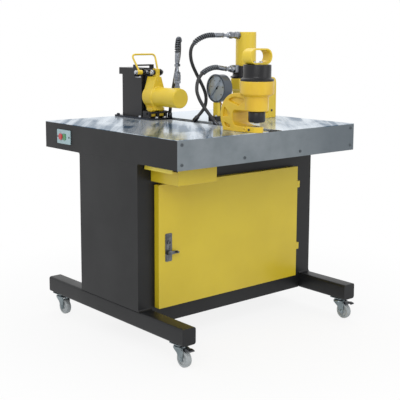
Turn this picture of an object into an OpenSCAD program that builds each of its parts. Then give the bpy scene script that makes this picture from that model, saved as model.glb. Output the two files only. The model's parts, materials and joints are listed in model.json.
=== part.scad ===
// Busbar processing machine: a wheeled cabinet table that carries a hydraulic bender, a cutter and a punch.
// Modules are drawn from the table's front left corner at floor level: X to the right, Y to the back, Z up.
// placed() then moves them to the part's origin, on the floor under the middle of the whole machine.

/* [Table] */
// Width of the table top
table_w = 930; // [900:5:960]
// Depth of the table top
table_d = 876; // [866:2:900]
// Height of the table top above the floor
table_h = 820; // [815:1:830]
// Height of the aprons round the table top
apron_h = 108; // [104:1:112]
// Thickness of the apron sheets and of the top sheets
sheet_t = 2; // [1.5:0.1:2.4]
// Left edge of the hose slot in the table top
slot_x = 440; // [436:1:442]
// Width of the hose slot
slot_w = 70; // [66:1:72]

/* [Stand] */
// Width of the columns and foot beams, seen from the front
side_w = 62; // [60:0.5:62]
// Front face of the columns
leg_front = 234; // [232:1:236]
// Depth of the columns
leg_d = 386; // [376:1:390]
// Front end of the foot beams, in front of the table edge
beam_front = -27; // [-32:1:-24]
// Back end of the foot beams
beam_back = 874; // [868:1:876]
// Height of the foot beams
beam_h = 64; // [62:1:66]
// Radius of the flared corners between column, apron and foot beam
flare_r = 8; // [5:1:16]

/* [Casters] */
// Height of a caster from the floor to its top plate
caster_h = 87; // [86:0.5:90]
// Radius of the wheels
wheel_r = 31.5; // [30:0.1:31.5]
// Distance of the wheel axle behind the swivel axis
trail = 25; // [22:0.5:26]

/* [Door] */
// Left edge of the door
door_x = 78; // [76:0.5:80]
// Width of the door
door_w = 744; // [740:0.5:746]
// Bottom edge of the door
door_z = 154; // [152:0.5:158]
// Height of the door
door_h = 474; // [470:0.5:478]
// Depth of the door's folded edge
door_d = 25.5; // [22:0.1:25.5]

/* [Bender] */
// Axis of the bender's cylinder, across the table
bender_x = 405; // [403:1:407]
// Height of that axis
bender_z = 917; // [916:0.5:918]
// Radius of the bender's cylinder
bender_r = 40.5; // [38:0.5:41]

/* [Cutter] */
// Axis of the cutter's cylinder, across the table
cutter_x = 712; // [710:1:714]
// Axis of the cutter's cylinder, front to back
cutter_y = 419; // [417:1:421]
// Top of the cutter's cylinder
cutter_top = 1190; // [1186:1:1200]

/* [Punch] */
// Axis of the punch, across the table
punch_x = 385; // [383:1:387]
// Axis of the punch, behind the table's front edge
punch_y = 10; // [8:0.5:12]

/* [Gauge] */
// Radius of the pressure gauge's case
gauge_r = 57; // [54:0.5:58]

/* [Hidden] */
$fn = 48;

run_fit = 0.05;          // radial clearance of shafts that turn or slide in a bore
gap = 0.3;               // clearance between other moving faces
apron_z = table_h - apron_h;
top_z = table_h - sheet_t;
slot_end = slot_x + slot_w;
leg_back = leg_front + leg_d;
beam_top = caster_h + beam_h;
tube_t = 2.5;            // wall of the frame tubes
frame_h = 25;            // height of the tubes under the table top
frame_z = top_z - frame_h;
frame_w = 40;            // width of the tubes under the table top
rail_d = 40;             // depth of the cabinet's cross rails
rail_top = 168;          // top of the bottom rails
lintel_z = 616;          // underside of the top rails
jamb_t = 3;
jamb_left_w = 30;
jamb_right_w = 60;
yellow = [0.86, 0.72, 0.22];
black = [0.14, 0.14, 0.15];
zinc = [0.74, 0.75, 0.76];
steel = [0.62, 0.65, 0.68];
grey = [0.50, 0.54, 0.56];

// The overhangs past the table: the punch's head in front, the stop button's cap on the left.
pedal_reach = 71;
punch_head_r = 63.5;
caster_front = 25;
caster_back = 825;
front_over = punch_head_r - punch_y;
left_over = 14;
module placed() {
  translate([(left_over - table_w) / 2, (front_over - table_d) / 2, 0]) children();
}

// ---- helpers ----

// Points of a rectangle with rounded corners, from its lower left corner.
function round_rect(w, h, r, n = 6) = [
  for (c = [[w - r, r, -90], [w - r, h - r, 0], [r, h - r, 90], [r, r, 180]])
    for (i = [0:n]) [c[0] + r * cos(c[2] + 90 * i / n), c[1] + r * sin(c[2] + 90 * i / n)]];

// Points of an arc about [cx, cy] from angle a to angle b.
function arc(cx, cy, r, a, b, n = 8) =
  [for (i = [0:n]) [cx + r * cos(a + (b - a) * i / n), cy + r * sin(a + (b - a) * i / n)]];

// Extrudes a drawing of the YZ plane along +X from x0 over w.
module along_x(x0, w) {
  translate([x0, 0, 0]) rotate([90, 0, 90]) linear_extrude(w) children();
}

// Extrudes a drawing of the XZ plane along +Y from y0 over d.
module along_y(y0, d) {
  translate([0, y0 + d, 0]) rotate([90, 0, 0]) linear_extrude(d) children();
}

module block(x, y, z) {
  translate([x[0], y[0], z[0]]) cube([x[1] - x[0], y[1] - y[0], z[1] - z[0]]);
}

module disc_x(x, y, z, r) {
  translate([x[0], y, z]) rotate([0, 90, 0]) cylinder(h = x[1] - x[0], r = r);
}

module disc_y(x, y, z, r) {
  translate([x, y[1], z]) rotate([90, 0, 0]) cylinder(h = y[1] - y[0], r = r);
}

module disc_z(x, y, z, r) {
  translate([x, y, z[0]]) cylinder(h = z[1] - z[0], r = r);
}

// A straight round rod between two points.
module rod(a, b, r) {
  d = b - a;
  len = norm(d);
  translate(a) rotate([0, acos(d[2] / len), atan2(d[1], d[0])]) cylinder(h = len, r = r);
}

// A bent wire through the points, with round bends.
module wire(points, r) {
  for (i = [0:len(points) - 2]) rod(points[i], points[i + 1], r);
  for (i = [1:len(points) - 2]) translate(points[i]) sphere(r = r);
}

module hexagon(x, y, z, r) {
  translate([x, y, z[0]]) cylinder(h = z[1] - z[0], r = r, $fn = 6);
}

// Mirrors its children to the right side of the table.
module to_right() {
  translate([table_w, 0, 0]) mirror([1, 0, 0]) children();
}

// ---- stand ----

// A folded sheet column with flared ends, open at top and bottom, with a narrower top inside the apron.
module column() {
  color(black) difference() {
    union() {
      along_x(0, side_w) polygon(concat(
        arc(leg_front - flare_r, beam_top + flare_r, flare_r, -90, 0),
        arc(leg_front - flare_r, apron_z - flare_r, flare_r, 0, 90),
        arc(leg_back + flare_r, apron_z - flare_r, flare_r, 90, 180),
        arc(leg_back + flare_r, beam_top + flare_r, flare_r, 180, 270)));
      block([sheet_t + gap, side_w], [leg_front + 6, leg_back - 6], [apron_z, frame_z]);
    }
    block([tube_t, side_w - tube_t], [leg_front + tube_t, leg_back - tube_t],
      [beam_top - 1, apron_z - tube_t]);
    block([sheet_t + gap + tube_t, side_w - tube_t], [leg_front + 9, leg_back - 9],
      [apron_z - 5, frame_z + 1]);
  }
}

// A closed tube with rounded edges, drilled underneath for the caster bolts.
module foot_beam() {
  color(black) difference() {
    translate([0, 0, caster_h]) along_y(beam_front, beam_back - beam_front)
      polygon(round_rect(side_w, beam_h, 9));
    translate([3, 0, caster_h + 3])
      along_y(beam_front + 3, beam_back - beam_front - 6) polygon(round_rect(side_w - 6, beam_h - 6, 6));
    for (y = [caster_front, caster_back]) caster_holes(side_w / 2, y, [caster_h - 1, caster_h + 4]);
  }
}

module caster_holes(x, y, z) {
  for (dx = [-22, 22]) for (dy = [-22, 22]) disc_z(x + dx, y + dy, z, 4.2);
}

module tube_x(x, y, z) {
  difference() {
    block(x, y, z);
    block([x[0] - 1, x[1] + 1], [y[0] + tube_t, y[1] - tube_t], [z[0] + tube_t, z[1] - tube_t]);
  }
}

module tube_y(x, y, z) {
  difference() {
    block(x, y, z);
    block([x[0] + tube_t, x[1] - tube_t], [y[0] - 1, y[1] + 1], [z[0] + tube_t, z[1] - tube_t]);
  }
}

// One weldment: rails between the columns, jambs that the door closes on, floor sheet and hinge pins.
module frame_rails() {
  inner = [side_w, table_w - side_w];
  color(black) {
    for (y = [leg_front, leg_back - rail_d]) {
      tube_x(inner, [y, y + rail_d], [caster_h + 1, rail_top]);
      tube_x(inner, [y, y + rail_d], [lintel_z, apron_z]);
    }
    block([inner[0], inner[0] + jamb_left_w], [leg_front, leg_front + jamb_t], [rail_top, lintel_z]);
    block([inner[1] - jamb_right_w, inner[1]], [leg_front, leg_front + jamb_t], [rail_top, lintel_z]);
    block(inner, [leg_front + jamb_t, leg_back], [rail_top, rail_top + 2]);
    for (z = hinge_zs) hinge_post(z);
  }
}

bearers = [100, 190, slot_x - 2 - frame_w, slot_end + 2, 690, 790];
bulkhead = [[475, 326], [492, 508], [475, 642]];

// Tubes under the table top, the scrap tray's hangers, and the slot's plate with holes for the hose
// couplings.
module table_frame() {
  z = [frame_z, top_z];
  inset = sheet_t;
  color(black) {
    tube_y([inset, inset + frame_w], [inset, table_d - inset], z);
    tube_y([table_w - inset - frame_w, table_w - inset], [inset, table_d - inset], z);
    for (y = [inset, table_d - inset - frame_w])
      tube_x([inset + frame_w, table_w - inset - frame_w], [y, y + frame_w], z);
    for (x = bearers) tube_y([x, x + frame_w], [inset + frame_w, table_d - inset - frame_w], z);
    difference() {
      block([slot_x - 30, slot_end + 30], [290, 680], [frame_z - 3, frame_z]);
      for (b = bulkhead) disc_z(b[0], b[1], [frame_z - 4, frame_z + 1], 8.2);
    }
    tray_rails();
  }
}

// One side apron with a folded bottom edge in front of and behind the column.
module side_apron() {
  block([0, sheet_t], [sheet_t, table_d - sheet_t], [apron_z, top_z]);
  for (y = [[20, leg_front - 24], [leg_back + 24, table_d - 20]])
    block([sheet_t, 17], y, [apron_z, apron_z + sheet_t]);
}

switch_y = 731;
switch_z = 766;
module side_aprons() {
  color(black) {
    difference() {
      side_apron();
      block([-1, sheet_t + 1], [switch_y - 26, switch_y + 26], [switch_z - 20, switch_z + 20]);
    }
    to_right() side_apron();
    block([0, table_w], [table_d - sheet_t, table_d], [apron_z, top_z]);
    block([20, table_w - 20], [table_d - 17, table_d - sheet_t], [apron_z, apron_z + sheet_t]);
  }
}

module front_apron() {
  color(grey) {
    block([0, table_w], [0, sheet_t], [apron_z, top_z]);
    block([20, table_w - 20], [sheet_t, 17], [apron_z, apron_z + sheet_t]);
  }
}

// Two top sheets with their inner edges folded down into the hose slot.
module top_sheets() {
  fold_y = [sheet_t + frame_w, table_d - sheet_t - frame_w];
  color(steel) {
    block([0, slot_x], [0, table_d], [top_z, table_h]);
    block([slot_x - sheet_t, slot_x], fold_y, [top_z - 22, top_z]);
    block([slot_end, table_w], [0, table_d], [top_z, table_h]);
    block([slot_end, slot_end + sheet_t], fold_y, [top_z - 22, top_z]);
  }
}

// Removable back panel with two rows of pressed louvres.
module cabinet_back() {
  color(black) difference() {
    union() {
      block([side_w + 4, table_w - side_w - 4], [leg_back, leg_back + 1.5], [caster_h + 8, apron_z - 8]);
      for (x = [230, 560]) for (i = [0:7]) louvre(x, 480 + 14 * i, 0);
    }
    for (x = [230, 560]) for (i = [0:7]) louvre(x, 480 + 14 * i, 1.2);
  }
}

// One louvre hood, or with a wall given the hollow inside it, open downwards.
module louvre(x, z, wall) {
  along_x(x + wall, 140 - 2 * wall) polygon([
    [leg_back + (wall > 0 ? -1 : 0), z - (wall > 0 ? 0.5 : 0)],
     [leg_back + 7 - wall, z - (wall > 0 ? 0.5 : 0)],
    [leg_back + 7 - wall, z + 1], [leg_back + (wall > 0 ? -1 : 0), z + 10 - wall]]);
}

// ---- door ----

door_y = leg_front - 0.5 - door_d;
skin = 1.5;
hinge_x = 831;
hinge_y = 221;
hinge_zs = [268, 536];
lock_x = 124;
lock_z = 386;
key_z = lock_z + 19;
lever_z = lock_z - 20;

// A folded pan with an inner lip and a stiffening channel, drilled for the lock.
module door() {
  color(yellow) difference() {
    union() {
      difference() {
        translate([door_x, 0, door_z]) along_y(door_y, door_d) polygon(round_rect(door_w, door_h, 8));
        translate([door_x + skin, 0, door_z + skin])
          along_y(door_y + skin, door_d - 2 * skin)
            polygon(round_rect(door_w - 2 * skin, door_h - 2 * skin, 6.5));
        translate([door_x + 13, 0, door_z + 13])
          along_y(door_y + door_d - 2 * skin, 2 * skin + 1)
            polygon(round_rect(door_w - 26, door_h - 26, 3));
      }
      difference() {
        block([440, 500], [door_y + skin, door_y + 16], [door_z + 3, door_z + door_h - 3]);
        block([442, 498], [door_y + skin - 1, door_y + 14], [door_z + 2, door_z + door_h - 2]);
      }
    }
    disc_y(lock_x, [door_y - 1, door_y + skin + 1], lever_z, 8);
    disc_y(lock_x, [door_y - 1, door_y + skin + 1], key_z, 7);
  }
}

// Lower hinge half on the right jamb, with its lift-off pin.
module hinge_post(z) {
  disc_z(hinge_x, hinge_y, [z - 30, z], 7);
  disc_z(hinge_x, hinge_y, [z - 1, z + 25], 3);
  block([hinge_x - 3, hinge_x + 3], [hinge_y + 5, leg_front], [z - 30, z]);
}

// Upper hinge halves welded to the door's right edge.
module hinge_barrels() {
  color(yellow) for (z = hinge_zs) difference() {
    union() {
      disc_z(hinge_x, hinge_y, [z + gap, z + 30], 7);
      block([door_x + door_w, hinge_x - 5], [hinge_y - 3, hinge_y + 3], [z + gap, z + 30]);
    }
    disc_z(hinge_x, hinge_y, [z + gap - 1, z + 26], 3 + run_fit);
  }
}

plate_y = door_y - 2;
module lock_plate() {
  color(zinc) {
    difference() {
      union() {
        translate([lock_x - 16, 0, lock_z - 54]) along_y(plate_y, 2) polygon(round_rect(32, 108, 5));
        translate([lock_x - 12, 0, lock_z - 50]) along_y(plate_y - 1.5, 1.6)
          polygon(round_rect(24, 100, 4));
        disc_y(lock_x, [plate_y - 5, plate_y], key_z, 8);
        disc_y(lock_x, [plate_y, door_y + 14], key_z, 6.5);
      }
      disc_y(lock_x, [plate_y - 6, plate_y - 2.5], key_z, 5);
      block([lock_x - 0.8, lock_x + 0.8], [plate_y - 3, plate_y + 3], [key_z - 3.5, key_z + 3.5]);
      disc_y(lock_x, [plate_y - 2, plate_y + 3], lever_z, 6 + run_fit);
      translate([lock_x - 6, 0, lever_z + 12]) along_y(plate_y - 2, 2.5) polygon(round_rect(12, 16, 4));
    }
  }
}

// Turning lever outside the door, its shaft, and the cam that swings behind the left jamb.
module lock_lever() {
  color(zinc) {
    disc_y(lock_x, [plate_y - 1.5 - gap - 9, plate_y - 1.5 - gap], lever_z, 10);
    translate([0, 0, lever_z]) along_y(plate_y - 10.5, 5)
      polygon(concat([[lock_x, -7]], arc(lock_x + 34, 0, 5, -90, 90), [[lock_x, 7]]));
    translate([0, 0, lever_z]) along_y(plate_y - 19, 9) polygon(round_rect_at(lock_x + 29, -4, 8, 8, 3));
    disc_y(lock_x, [plate_y - 2, leg_front + 9], lever_z, 6);
    along_y(leg_front + 5, 3)
      polygon(concat([[lock_x + 9, lever_z + 6]], [[lock_x - 9, lever_z + 6]],
                     arc(lock_x, lever_z - 38, 8, 180, 360)));
  }
}

function round_rect_at(x, y, w, h, r) = [for (p = round_rect(w, h, r)) [p[0] + x, p[1] + y]];

// ---- scrap tray ----

tray = [[60, 243], [70, 231], [643, 706]];
tray_t = 1.5;
// Folded tray with inward flanges that ride on the rails, and a pull lip along its left side.
module scrap_tray() {
  x = tray[0];
  y = tray[1];
  z = tray[2];
  color(yellow) {
    difference() {
      along_x(x[0], x[1] - x[0]) polygon(round_rect_at(y[0], z[0], y[1] - y[0], z[1] - z[0], 8));
      along_x(x[0] + tray_t, x[1] - x[0] - 2 * tray_t)
        polygon(round_rect_at(y[0] + tray_t, z[0] + tray_t, y[1] - y[0] - 2 * tray_t,
          z[1] - z[0] - 2 * tray_t, 6.5));
      block([x[0] + tray_t, x[1] + 1], [y[0] + 14, y[1] - 14], [z[1] - 3, z[1] + 1]);
      block([x[1] - 4, x[1] + 1], [y[0] - 1, y[1] + 1], [z[1] - 9, z[1] + 1]);
    }
    block([x[0] - 30, x[0] + 2], y, [z[1] - tray_t, z[1]]);
    block([x[0] - 30, x[0] - 30 + tray_t], y, [z[1] - 17, z[1]]);
  }
}

// Two hangers under the table top with an outward foot that carries the tray's flanges.
module tray_rails() {
  x = [tray[0][0] + 4, tray[0][1] - 4];
  y = tray[1];
  z = tray[2][1] - tray_t;
  block(x, [y[0] + 8.5, y[0] + 19], [z - 3 - gap, z - gap]);
  block(x, [y[0] + 16, y[0] + 19], [z - 3, frame_z + 1]);
  block(x, [y[0] + 16, y[0] + 36], [frame_z - 3, frame_z]);
  block(x, [y[1] - 19, y[1] - 8.5], [z - 3 - gap, z - gap]);
  block(x, [y[1] - 19, y[1] - 16], [z - 3, frame_z + 1]);
  block(x, [y[1] - 36, y[1] - 16], [frame_z - 3, frame_z]);
}

// ---- switch ----

stop_y = switch_y + 16;
start_y = switch_y - 8;
module switch_box() {
  color([0.68, 0.74, 0.72]) difference() {
    union() {
      along_x(-4, 4) polygon(round_rect_at(switch_y - 51, switch_z - 31, 102, 62, 4));
      block([0, 38], [switch_y - 26, switch_y + 26], [switch_z - 20, switch_z + 20]);
    }
    disc_x([-5, 7], stop_y, switch_z, 8 + gap);
    block([-5, 7], [start_y - 9 - gap, start_y + 9 + gap], [switch_z - 12 - gap, switch_z + 12 + gap]);
  }
}

module start_button() {
  color([0.25, 0.55, 0.35]) difference() {
    along_x(-8, 11) polygon(round_rect_at(start_y - 9, switch_z - 12, 18, 24, 2));
    disc_x([-9, -7.2], start_y, switch_z, 6);
  }
}

module stop_button() {
  color([0.75, 0.2, 0.2]) {
    translate([-8, stop_y, switch_z]) rotate([0, -90, 0]) rotate_extrude()
      polygon([[0, 0], [14.5, 0], [14.5, 3.5], [13, 5.5], [9, 6], [0, 6]]);
    disc_x([-8.5, 3], stop_y, switch_z, 8);
  }
}

// ---- casters ----

caster_spots = [[side_w / 2, caster_front], [table_w - side_w / 2, caster_front],
                [side_w / 2, caster_back], [table_w - side_w / 2, caster_back]];
crown_z = 67;
pedal_z = 68;
pedal_y = -30;

// Top plate, upper race and riveted kingpin of each caster.
module caster_plates() {
  color(zinc) for (p = caster_spots) difference() {
    translate([p[0], p[1], 0]) {
      difference() {
        translate([-29, -29, caster_h - 3]) linear_extrude(3) polygon(round_rect(58, 58, 6));
        caster_holes(0, 0, [caster_h - 4, caster_h + 1]);
      }
      rotate_extrude() polygon([[0, crown_z - gap - 3], [7, crown_z - gap - 3], [9, crown_z - gap - 1],
        [9, crown_z - gap], [5, crown_z - gap], [5, caster_h - 10], [14, caster_h - 10], [17, caster_h - 8],
        [17, caster_h - 3], [0, caster_h - 3]]);
    }
  }
}

// A stamped fork with a domed crown and its riveted axle; the wheel trails to the front.
module fork() {
  color(steel) {
    difference() {
      union() {
        rotate_extrude() polygon([[0, crown_z], [23, crown_z], [24, crown_z + 3], [22, crown_z + 7],
          [16, caster_h - 10 - gap], [0, caster_h - 10 - gap]]);
        for (x = [-17, 14]) along_x(x, 3) fork_cheek();
      }
      disc_z(0, 0, [crown_z - 1, caster_h], 5 + run_fit);
      disc_x([-20, 20], pedal_y, pedal_z, 2.5 + run_fit);
    }
    disc_x([-18, 18], -trail, wheel_r, 5);
    for (s = [-1, 1]) translate([s * 17, -trail, wheel_r]) rotate([0, s * 90, 0]) rotate_extrude()
      polygon([[0, 0], [7.5, 0], [7, 2], [4.5, 3.5], [0, 4]]);
  }
}

module fork_cheek() {
  union() {
    polygon([[19, crown_z + 5], [-19, crown_z + 7], [-34.5, pedal_z + 4], [-36, pedal_z - 1],
      [-35, wheel_r + 8],
             [-34, wheel_r - 3], [-16, wheel_r - 3], [-2, crown_z - 16], [17, crown_z - 3]]);
    translate([-trail, wheel_r]) circle(r = 10);
  }
}

// A moulded wheel with a crowned tread and recessed faces.
module wheel() {
  color(grey) translate([0, -trail, wheel_r]) rotate([0, 90, 0]) rotate_extrude() {
    r = wheel_r;
    polygon([[5 + run_fit, -13], [9, -13], [9.5, -9], [r - 10, -8], [r - 9, -11.5], [r - 4, -12],
      [r - 1, -9], [r, -4],
             [r, 4], [r - 1, 9], [r - 4, 12], [r - 9, 11.5], [r - 10, 8], [9.5, 9], [9, 13],
              [5 + run_fit, 13]]);
  }
}

// Foot pedal that pivots in the fork's cheeks and presses its shoe on the tread.
module brake() {
  color(steel) {
    difference() {
      disc_x([-13.5, 13.5], pedal_y, pedal_z, 4.5);
      disc_x([-15, 15], pedal_y, pedal_z, 2.5);
    }
    disc_x([-16, 16], pedal_y, pedal_z, 2.5);
    along_x(-11, 22)
      polygon([[pedal_y - 2, pedal_z + 1], [pedal_y - 2, pedal_z + 3.9], [-56, 75.5], [-67, 73.5],
      [-pedal_reach, 69.5], [-70, 68.4], [-66, 70.6], [-56, 72.8], [-46, 69], [-44, 62.5], [-40, 62.5]]);
  }
}

module at_caster(i) {
  translate([caster_spots[i][0], caster_spots[i][1], 0]) children();
}

// ---- bender ----

die_y = [700, 840];
die_top = 1035;
head_y = [629, 687];
base_t = 8;
bail_y = 697;
bail_z = 1019;
bail_x = 50.5;
pin_y = 649;
lower_pin_z = 846;

module bender_base() {
  color(black) difference() {
    block([bender_x - 57, bender_x + 57], [604, 872], [table_h, table_h + base_t]);
    for (p = bender_bolts) disc_z(p[0], p[1], [table_h - 1, table_h + base_t + 1], 4.3);
  }
}

bender_bolts = concat([for (x = [-48, 48]) for (y = [696, 858]) [bender_x + x, y]],
                      [for (x = [-21, 21]) [bender_x + x, 616]]);

// Tall steel block with an upright V groove in its front, a lip at the top of its back and a bored
// cross bar.
module bender_die() {
  w = 37;
  v = 28;
  bar = 31;
  color(black) difference() {
    union() {
      translate([0, 0, table_h + base_t]) linear_extrude(die_top - table_h - base_t) polygon([
        [bender_x - w, die_y[0]], [bender_x - v, die_y[0]],
        [bender_x - 2, die_y[0] + v - 2], [bender_x + 2, die_y[0] + v - 2],
        [bender_x + v, die_y[0]], [bender_x + w, die_y[0]], [bender_x + w, die_y[1]],
         [bender_x - w, die_y[1]]]);
      block([bender_x - w, bender_x + w], [die_y[1], die_y[1] + 24], [die_top - 29, die_top]);
      along_x(bender_x - bar, 2 * bar) polygon(concat([[716, bail_z - 12], [716, bail_z + 12]],
        arc(bail_y - 3, bail_z, 12, 90, 270)));
    }
    disc_x([bender_x - w - 1, bender_x + w + 1], bail_y, bail_z, 5 + run_fit);
  }
}

module link_plate(x0, z, r) {
  along_x(x0, 8) polygon(concat(arc(pin_y, z, r, 90, 270), [[686, z - r], [686, z + r]]));
}

// Link plates above and three standing cheeks below that hold the head, their cross pins, the
// cone nut, and the strap over the block.
module bender_links() {
  color(black) {
    for (x = [-16, 8]) link_plate(bender_x + x, bail_z, 11);
    disc_x([bender_x - 21, bender_x + 21], pin_y, bail_z, 5);
    for (x = [-43, 0, 43]) along_x(bender_x + x - 6, 12)
      polygon(concat([[632, table_h + base_t]], arc(640, 848, 8, 180, 90, 4),
        [[676, 856], [676, table_h + base_t]]));
    disc_x([bender_x - 54, bender_x + 54], pin_y, lower_pin_z, 5);
    translate([bender_x + 16, pin_y, bail_z]) rotate([0, 90, 0]) rotate_extrude()
      polygon([[0, 0], [14.5, 0], [14.5, 8], [11, 15], [4, 22], [0, 22]]);
    difference() {
      block([bender_x - 46, bender_x + 46], [722, 748], [998, 1050]);
      block([bender_x - 40.5, bender_x + 40.5], [721, 749], [997, 1044]);
    }
    for (s = [-1, 1]) disc_x([bender_x + s * 45.5 - 8, bender_x + s * 45.5 + 8], 735, 1008, 6);
  }
}

// Cast pear-shaped head and cylinder, with a channel behind for the ram's nose, one lug above and
// two below.
module bender_head() {
  z = bender_z;
  x = bender_x;
  lug = 7.8;
  color(yellow) difference() {
    union() {
      along_y(head_y[0], head_y[1] - head_y[0]) union() {
        translate([x, z]) circle(r = 46);
        polygon([[x - 33, z + 30], [x - 19, 990], [x - 16, 1001], [x + 16, 1001], [x + 19, 990],
          [x + 33, z + 30],
                 [x + 31, z - 30], [x + 21, 862], [x + 20, 858], [x - 20, 858], [x - 21, 862],
                  [x - 31, z - 30]]);
      }
      block([x - lug, x + lug], [head_y[0], 661], [998, die_top]);
      for (s = [-1, 1])
        block([x + s * 21 - 12, x + s * 21 + 12], [head_y[0] + 8, 663], [lower_pin_z - 13, 862]);
      block([x - 33, x + 33], [head_y[0] + 2, head_y[1] - 16], [858, 870]);
      translate([x, head_y[0] + 1, z]) rotate([90, 0, 0]) rotate_extrude()
        polygon([[0, 0], [bender_r + 3, 0], [bender_r, 6], [bender_r, 147], [bender_r - 2, 149], [0, 149]]);
      disc_z(x, 503, [z, z + bender_r + 3], 13);
    }
    disc_y(x, [510, 650], z, 26);
    disc_y(x, [640, 660], z, 10 + run_fit);
    block([x - 11.5, x + 11.5], [head_y[1] - 30, head_y[1] + 1], [z - 61, z + 61]);
    disc_x([x - 9, x + 9], pin_y, bail_z, 5 + run_fit);
    disc_x([x - 34, x + 34], pin_y, lower_pin_z, 5 + run_fit);
  }
}

// Piston, rod and the upright nose that bends the bar into the V groove.
module bender_ram() {
  color(steel) {
    disc_y(bender_x, [560, 600], bender_z, 26 - run_fit);
    disc_y(bender_x, [595, 664], bender_z, 10);
    translate([0, 0, bender_z - 58]) linear_extrude(116)
      polygon(concat([[bender_x + 11, head_y[1] - 29]], arc(bender_x, head_y[1] - 7, 4, 45, 135, 6),
                     [[bender_x - 11, head_y[1] - 29]]));
  }
}

// Wire carrying bail on two sleeves that turn on a long bolt; it leans back.
module bender_bail() {
  foot = [bail_x, bail_y + 4.5, bail_z + 9];
  knee = [bail_x + 10, bail_y + 34, 1082];
  top = [bail_x + 3, bail_y + 38, 1093];
  function side(q, s) = [bender_x + s * q[0], q[1], q[2]];
  color(yellow) {
    for (s = [-1, 1]) difference() {
      disc_x([bender_x + s * bail_x - 12.7, bender_x + s * bail_x + 12.7], bail_y, bail_z, 9.5);
      disc_x([bender_x + s * bail_x - 15, bender_x + s * bail_x + 15], bail_y, bail_z, 5 + run_fit);
    }
    wire([side(foot, -1), side(knee, -1), side(top, -1), side(top, 1), side(knee, 1), side(foot, 1)], 4);
  }
}

// ---- cutter ----

cut_x = [650, 872];
cut_y = [393, 445];
cut_top = 997;
window_x = [668, 824];
window_z = [842, 872];
blade_y = [413, 425];
cap_z = 1048;

// Thick guillotine frame with a window for the bar and a guide channel for the blade.
module cutter_body() {
  color(yellow) difference() {
    along_y(cut_y[0], cut_y[1] - cut_y[0])
      polygon(concat([[cut_x[0] + 10, table_h], [cut_x[1], table_h]],
        arc(cut_x[1] - 22, cut_top - 22, 22, 0, 90),
        [[cut_x[0] + 2, cut_top], [cut_x[0], cut_top - 6]],
         arc(cut_x[0] - 20, cut_top - 66, 30, 40, 0, 5)));
    along_y(cut_y[0] - 1, cut_y[1] - cut_y[0] + 2)
      polygon(round_rect_at(window_x[0], table_h - 10, window_x[1] - window_x[0],
        window_z[1] - table_h + 10, 4));
    block([window_x[0] - gap, window_x[1] + gap], [blade_y[0] - gap, blade_y[1] + gap],
      [window_z[0] - 17, 956]);
    disc_z(cutter_x, cutter_y, [890, cut_top + 1], 16 + run_fit);
    disc_y(846, [cut_y[0] - 1, cut_y[0] + 10], 852, 4);
  }
}

// Block between the frame's posts, grooved for the blade and pocketed for the fixed one.
module cutter_anvil() {
  color(yellow) difference() {
    block(window_x, cut_y, [table_h, window_z[0]]);
    block([window_x[0] - 1, window_x[1] + 1], [blade_y[0] - gap, blade_y[1] + gap],
      [window_z[0] - 17, window_z[0] + 1]);
    block([window_x[0] + 1, window_x[1] - 1], [blade_y[1] - 1, cut_y[1] - 8], [830, window_z[0] + 1]);
  }
}

// Clamping flange and ring between the frame and the cylinder, with a flat for the port block.
module cutter_collar() {
  color(black) difference() {
    translate([cutter_x, cutter_y, 0]) rotate_extrude()
      polygon([[16.5, cut_top], [65, cut_top], [65, cut_top + 6], [56, cut_top + 9], [55, cap_z],
        [16.5, cap_z]]);
    block([cutter_x - 70, cutter_x - 50], [cutter_y - 16, cutter_y + 16], [cut_top + 15, cap_z + 1]);
  }
}

module cutter_cylinder() {
  color(yellow) difference() {
    translate([cutter_x, cutter_y, 0]) rotate_extrude()
      polygon([[0, cutter_top], [0, cutter_top - 8], [30, cutter_top - 8], [30, cap_z + 10],
               [16 + run_fit, cap_z + 10],
               [16 + run_fit, cap_z], [43.5, cap_z], [43.5, cutter_top - 2], [42, cutter_top]]);
    block([cutter_x - 50, cutter_x - 42], [cutter_y - 15, cutter_y + 15], [1160, cutter_top + 1]);
  }
}

// Blade plate with a raked edge, its rod and piston.
module cutter_blade() {
  color(steel) {
    along_y(blade_y[0], blade_y[1] - blade_y[0])
      polygon([[window_x[0] + 1, 884], [window_x[0] + 1, 925], [cutter_x - 30, 944], [cutter_x + 30, 944],
               [window_x[1] - 1, 925], [window_x[1] - 1, 874]]);
    disc_z(cutter_x, cutter_y, [940, 1115], 16);
    disc_z(cutter_x, cutter_y, [1112, 1142], 30 - run_fit);
  }
}

module cutter_lower_blade() {
  color(steel)
    block([window_x[0] + 1, window_x[1] - 1], [blade_y[1] + gap, cut_y[1] - 8], [830, window_z[0]]);
}

// ---- punch ----

cast_w = 76;
throat_z = [842, 900];
throat_y = 103;
neck_top = 953;
head_z = [962, 1011];
strap_z = 1071;
bow = [85, 878, 86];

// The C frame's side view: bowed spine, lower jaw and upper arm about the throat.
module punch_profile() {
  difference() {
    polygon(concat([[punch_y - 30, table_h], [158, table_h]], arc(bow[0], bow[1], bow[2], -32, 90, 16),
                   [[punch_y, 964], [punch_y - 30, 964]]));
    polygon(concat([[punch_y - 40, throat_z[0]]], arc(throat_y - 26, throat_z[0] + 26, 26, -90, 0),
                   arc(throat_y - 16, throat_z[1] - 16, 16, 0, 90), [[punch_y - 40, throat_z[1]]]));
  }
}

// The frame's plan: full width at the spine, drawn in to the jaw's nose and the neck in front.
module punch_plan(nose) {
  polygon(concat([[punch_x + cast_w / 2, 172], [punch_x - cast_w / 2, 172], [punch_x - cast_w / 2, 74]],
                 arc(punch_x, punch_y, nose, 165, 375, 12), [[punch_x + cast_w / 2, 74]]));
}

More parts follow.
